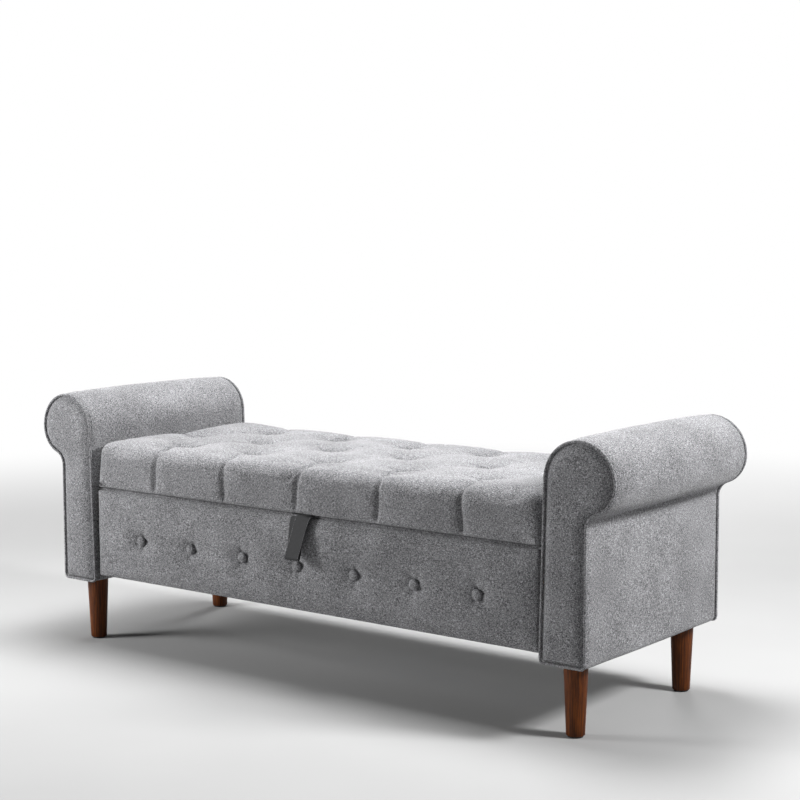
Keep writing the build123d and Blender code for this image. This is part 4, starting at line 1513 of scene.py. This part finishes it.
@dataclass
class Linings:
    """Thin cloths stapled inside the box, under the lid and under the bench."""

    finishes: Finishes
    cell: float = 12 * MM
    thickness: float = 0.6 * MM
    staple_pitch: float = 45 * MM

    def thicken(self, piece: Piece, offset: float) -> None:
        """Give an open cloth its thickness.

        Args:
            piece: Open sheet.
            offset: Side on which the thickness is added, from -1 to 1.
        """
        modifier = piece.modifiers.new("thickness", "SOLIDIFY")
        modifier.thickness = self.thickness
        modifier.offset = offset
        fixed_mesh(piece)

    def flat_cloth(self, x: tuple[float, float], y: tuple[float, float], z: float,
                   holes: Sequence[tuple[float, float, float]] = ()) -> tuple[list, list]:
        """A level cloth, slightly slack, with square holes.

        Args:
            x: Low and high X.
            y: Low and high Y.
            z: Height.
            holes: X, Y and half size of each hole.

        Returns:
            Points and faces.
        """
        nx, ny = round((x[1] - x[0]) / self.cell), round((y[1] - y[0]) / self.cell)
        xs, ys = np.linspace(*x, nx + 1), np.linspace(*y, ny + 1)
        points = np.array([(a, b, z) for b in ys for a in xs])
        edge = np.minimum.reduce([points[:, 0] - x[0], x[1] - points[:, 0],
                                  points[:, 1] - y[0], y[1] - points[:, 1]])
        slack = ripple(points, (0.16, 0.09, 1), 1.3) * (edge / 0.1).clip(0, 1)
        points[:, 2] += 0.25 * MM * slack
        faces = []
        for j in range(ny):
            for i in range(nx):
                cx, cy = (xs[i] + xs[i + 1]) / 2, (ys[j] + ys[j + 1]) / 2
                if not any(abs(cx - a) < h and abs(cy - b) < h for a, b, h in holes):
                    k = j * (nx + 1) + i
                    faces.append((k, k + nx + 1, k + nx + 2, k + 1))
        return list(points), faces

    def build_rim_binding(self) -> Piece:
        """Fabric carried over the rim of the box and down inside it."""
        outer_low, outer_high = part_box("front_board")[0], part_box("back_board")[1]
        inner_low, inner_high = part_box("storage_lining")
        rim, drop, out = outer_high.z + 0.3 * MM, inner_high.z - 5 * MM, 0.4 * MM
        corners = [(outer_low, outer_high, drop, -out), (outer_low, outer_high, rim, -out),
                   (inner_low, inner_high, rim, out), (inner_low, inner_high, drop, out)]
        points = []
        for low, high, z, slip in corners:
            points += [(low.x + slip, low.y + slip, z), (high.x - slip, low.y + slip, z),
                       (high.x - slip, high.y - slip, z), (low.x + slip, high.y - slip, z)]
        piece = new_piece("box_rim_binding", points, ring_faces(len(corners), 4), smooth=False)
        tidy_normals(piece)
        self.thicken(piece, 0.0)
        self.finishes.dress(piece, "grey_fabric", "base")
        return piece

    def build_box_lining(self) -> Piece:
        """The lining of the box: floor and four walls, a little slack on the long walls."""
        low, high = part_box("storage_lining")
        inset = Vector((0.2, 0.2, 0.2)) * MM
        top = high - Vector((inset.x, inset.y, 0))
        points, faces = rounded_block(low + inset, top, self.cell, 0.0, 5 * MM)
        walls = [f for f in faces if min(points[v][2] for v in f) < high.z - 1 * MM]
        slack = 0.5 + 0.5 * ripple(points, (0.12, 0.12, 0.3), 8.2)
        along = points[:, 0] / high.x
        long_wall = (1 - along ** 8) * ((points[:, 2] - low.z) / (high.z - low.z)).clip(0, 1)
        middle = (low.y + high.y) / 2
        points[:, 1] += np.sign(middle - points[:, 1]) * 2.5 * MM * slack * long_wall * (
            np.abs(points[:, 1] - middle) > (high.y - low.y) / 2 - 2 * MM)
        piece = new_piece("storage_box_lining", points, walls)
        tidy_normals(piece)
        self.thicken(piece, -1.0)
        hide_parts("storage_lining")
        self.finishes.dress(piece, "lining_cloth", "base")
        return piece

    def build_lid_lining(self) -> Piece:
        """The cloth under the lid."""
        low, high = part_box("lid_lining")
        points, faces = self.flat_cloth((low.x, high.x), (low.y, high.y), low.z + 0.4 * MM)
        piece = new_piece("lid_underside_cloth", points, faces)
        self.thicken(piece, 0.0)
        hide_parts("lid_lining")
        self.finishes.dress(piece, "lining_cloth", "lid")
        return piece

    def build_dust_cloth(self) -> Piece:
        """The cloth under the bench: one sheet under the box and one under each arm."""
        low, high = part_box("dust_cover")
        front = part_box("front_board")[0].y
        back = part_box("back_board")[1].y
        box_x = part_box("front_board")[1].x - 4 * MM
        arm_x = (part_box("right_end_board")[1].x + 18 * MM, high.x)
        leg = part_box("leg_front_right")
        plate = 31 * MM
        points, faces = self.flat_cloth((-box_x, box_x), (front, back), high.z - 0.5 * MM)
        area = 2 * box_x * (back - front)
        for side in Side:
            x = tuple(sorted(side.value * v for v in arm_x))
            holes = []
            for name in ("front", "back"):
                a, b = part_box(f"leg_{name}_{side.word}")
                holes.append(((a.x + b.x) / 2, (a.y + b.y) / 2, plate))
            more, quads = self.flat_cloth(x, (low.y, high.y), leg[1].z + 2.0 * MM, holes)
            faces += [tuple(v + len(points) for v in quad) for quad in quads]
            points += more
            area += (x[1] - x[0]) * (high.y - low.y) - 2 * (2 * plate) ** 2
        piece = new_piece("underside_dust_cloth", points, faces)
        self.thicken(piece, 0.0)
        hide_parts("dust_cover")
        self.finishes.dress(piece, "black_cloth", "base")
        return piece

    def build_staples(self, tree: Tree, staple: Piece) -> list[Piece]:
        """Staples round the cloth under the lid and round the cloth under the box.

        Args:
            tree: Tree that puts copies along a path.
            staple: One staple.

        Returns:
            One piece for the lid and one for the box.
        """
        made = []
        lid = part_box("lid_lining")
        front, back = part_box("front_board")[0].y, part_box("back_board")[1].y
        box_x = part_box("front_board")[1].x - 4 * MM
        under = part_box("dust_cover")[1].z - 0.9 * MM
        frames = {
            "lid": (lid[0].x, lid[1].x, lid[0].y, lid[1].y, lid[0].z),
            "base": (-box_x, box_x, front, back, under),
        }
        for body, (x0, x1, y0, y1, z) in frames.items():
            e = 9 * MM
            ring = np.array([(x0 + e, y0 + e, z), (x1 - e, y0 + e, z), (x1 - e, y1 - e, z),
                             (x0 + e, y1 - e, z)])
            piece = path_piece(f"{body}_cloth_staples", [ring], closed=True)
            run_tree(piece, tree, {"Copy": staple, "Pitch": self.staple_pitch,
                                   "Material": self.finishes.by_slot["zinc_steel"]})
            self.finishes.dress(piece, "zinc_steel", body)
            made.append(piece)
        return made


# ---------------------------------------------------------------- studio


@dataclass
class Studio:
    """Floor, lights and camera."""

    eye: tuple[float, float, float] = (2.516, -3.133, 1.040)
    pan: float = 37.72
    dip: float = 6.13
    roll: float = -0.14
    lens: float = 80.3
    ambient: float = 0.1
    near: float = 1.2                 # the floor fades to a white sweep between these distances
    far: float = 4.0

    def lamp(self, name: str, place: Sequence[float], target: Sequence[float], size: float,
             power: float) -> None:
        """Add a square softbox.

        Args:
            name: Lamp name.
            place: Where it stands.
            target: What it points at.
            size: Width of the box.
            power: Power in watts.
        """
        light = bpy.data.lights.new(name, "AREA")
        light.size = size
        light.energy = power
        lamp = bpy.data.objects.new(name, light)
        lamp.visible_camera = False
        lamp.location = place
        lamp.rotation_euler = (Vector(target) - Vector(place)).to_track_quat("-Z", "Y").to_euler()
        bpy.context.scene.collection.objects.link(lamp)

    def build(self) -> None:
        """Set up the floor, the lights, the background and the camera."""
        reach = 30.0
        floor = new_piece("studio_floor", [(-reach, -reach, 0), (reach, -reach, 0),
                                           (reach, reach, 0), (-reach, reach, 0)],
                          [(0, 1, 2, 3)], smooth=False)
        material, tree, shader, place = new_material(
            "pale_studio_floor", {"Roughness": 0.9, "Specular IOR Level": 0.1})
        haze = streaks(tree, place, [0.4] * 3)
        base_colour(tree, shader, haze, [(0.0, "969696"), (1.0, "9c9c9c")])
        reach_out = add_node(tree, "ShaderNodeVectorMath", {"operation": "LENGTH"},
                             links={0: place}).outputs["Value"]
        far = add_node(tree, "ShaderNodeMapRange", {"interpolation_type": "SMOOTHSTEP"}, {
            "From Min": self.near, "From Max": self.far}, {"Value": reach_out}).outputs["Result"]
        glow = add_node(tree, "ShaderNodeEmission", values={"Color": colour("ffffff")})
        blend = add_node(tree, "ShaderNodeMixShader", links={
            0: far, 1: shader.outputs[0], 2: glow.outputs[0]})
        tree.links.new(blend.outputs[0], tree.nodes["Material Output"].inputs["Surface"])
        floor.data.materials.append(material)

        self.lamp("top_softbox", (-0.3, 0.3, 3.0), (0, 0, 0.4), 1.4, 160)
        self.lamp("left_softbox", (-1.9, -1.6, 1.0), (-0.5, -0.2, 0.35), 0.7, 64)
        self.lamp("right_softbox", (2.6, 0.5, 1.9), (0.7, 0.0, 0.35), 0.5, 110)
        self.lamp("back_softbox", (-1.2, 3.0, 1.6), (0.0, 0.2, 0.3), 1.0, 60)

        world = bpy.data.worlds.new("studio_air")
        bpy.context.scene.world = world
        world.use_nodes = True
        air = world.node_tree
        air.nodes.clear()
        seen = add_node(air, "ShaderNodeBackground", values={"Color": colour("ffffff")})
        felt = add_node(air, "ShaderNodeBackground", values={
            "Color": colour("ffffff"), "Strength": self.ambient})
        ray = add_node(air, "ShaderNodeLightPath")
        mixed = add_node(air, "ShaderNodeMixShader", links={
            0: ray.outputs["Is Camera Ray"], 1: felt.outputs[0], 2: seen.outputs[0]})
        add_node(air, "ShaderNodeOutputWorld", links={"Surface": mixed.outputs[0]})

        optics = bpy.data.cameras.new("camera")
        optics.lens = self.lens
        optics.sensor_width = 36
        optics.clip_end = 100
        camera = bpy.data.objects.new("camera", optics)
        turn = (Matrix.Rotation(math.radians(self.pan), 4, "Z")
                @ Matrix.Rotation(math.radians(90 - self.dip), 4, "X")
                @ Matrix.Rotation(math.radians(self.roll), 4, "Z"))
        camera.matrix_world = Matrix.Translation(self.eye) @ turn
        bpy.context.scene.collection.objects.link(camera)
        bpy.context.scene.camera = camera
        bpy.context.scene.view_settings.view_transform = "Standard"


# ---------------------------------------------------------------- the whole bench


@dataclass
class Bench:
    """Every visible piece of the bench, in the order in which it is made."""

    finishes: Finishes
    front_buttons: int = 7
    button_lift: float = 3.2 * MM     # the padding pushes the front buttons out by this much

    def build(self) -> list[Piece]:
        """Build all the pieces.

        Returns:
            The new pieces.
        """
        cords, copies, runs = cord_tree(), scatter_tree(), path_tree()
        covered = CoveredButton()
        button = covered.pattern()
        lid = TuftedLid(self.finishes)
        made = [lid.build_cushion(), lid.build_buttons(button, copies)]
        low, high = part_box("front_buttons")
        across = np.linspace(low.x + covered.radius, high.x - covered.radius, self.front_buttons)
        spots = [(float(x), (low.z + high.z) / 2) for x in across]
        made.append(PaddedPanel(self.finishes, "front_cover", End.FRONT, spots).build())
        made.append(PaddedPanel(self.finishes, "back_cover", End.BACK, []).build())
        seat_y = high.y - self.button_lift
        buttons = new_piece("front_panel_buttons", [(x, seat_y, z) for x, z in spots], [])
        run_tree(buttons, copies, {"Copy": button, "Turn": (math.pi / 2, 0.0, 0.0), "Spin": 3.0,
                                   "Seed": 11, "Material": self.finishes.by_slot["grey_fabric"]})
        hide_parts("front_buttons")
        self.finishes.dress(buttons, "grey_fabric", "base")
        made.append(buttons)
        bpy.data.objects.remove(button)
        for side in Side:
            arm = RolledArm(self.finishes, side)
            made.append(arm.build_cover())
            for end in End:
                made += [arm.build_facing(end), arm.build_piping(end, cords)]
        for place in ("front_left", "back_left", "front_right", "back_right"):
            made.append(TurnedLeg(self.finishes, f"leg_{place}").build())
        loop = PullLoop(self.finishes)
        made += loop.build()
        # pale stitches on the loop's edges: partly real stitching, partly painted edge highlight
        stitch = capsule("stitch_pattern", 0.4 * MM, 1.5 * MM)
        made.append(loop.build_stitches(runs, stitch))
        linings = Linings(self.finishes)
        made += [linings.build_rim_binding(), linings.build_box_lining(),
                 linings.build_lid_lining(), linings.build_dust_cloth()]
        staple = capsule("staple_pattern", 0.5 * MM, 5.5 * MM)
        made += linings.build_staples(runs, staple)
        for pattern in (stitch, staple):
            bpy.data.objects.remove(pattern)
        return made


def main() -> None:
    """Build the studio and the bench, and report each piece."""
    logging.basicConfig(level=logging.INFO, format="%(message)s")
    finishes = Finishes()
    LOG.info("dressed %d CAD nodes", finishes.dress_cad_nodes())
    Studio().build()
    for piece in Bench(finishes).build():
        LOG.info("%s: %d faces", piece.name, len(piece.data.polygons))


if __name__ == "__main__":
    main()
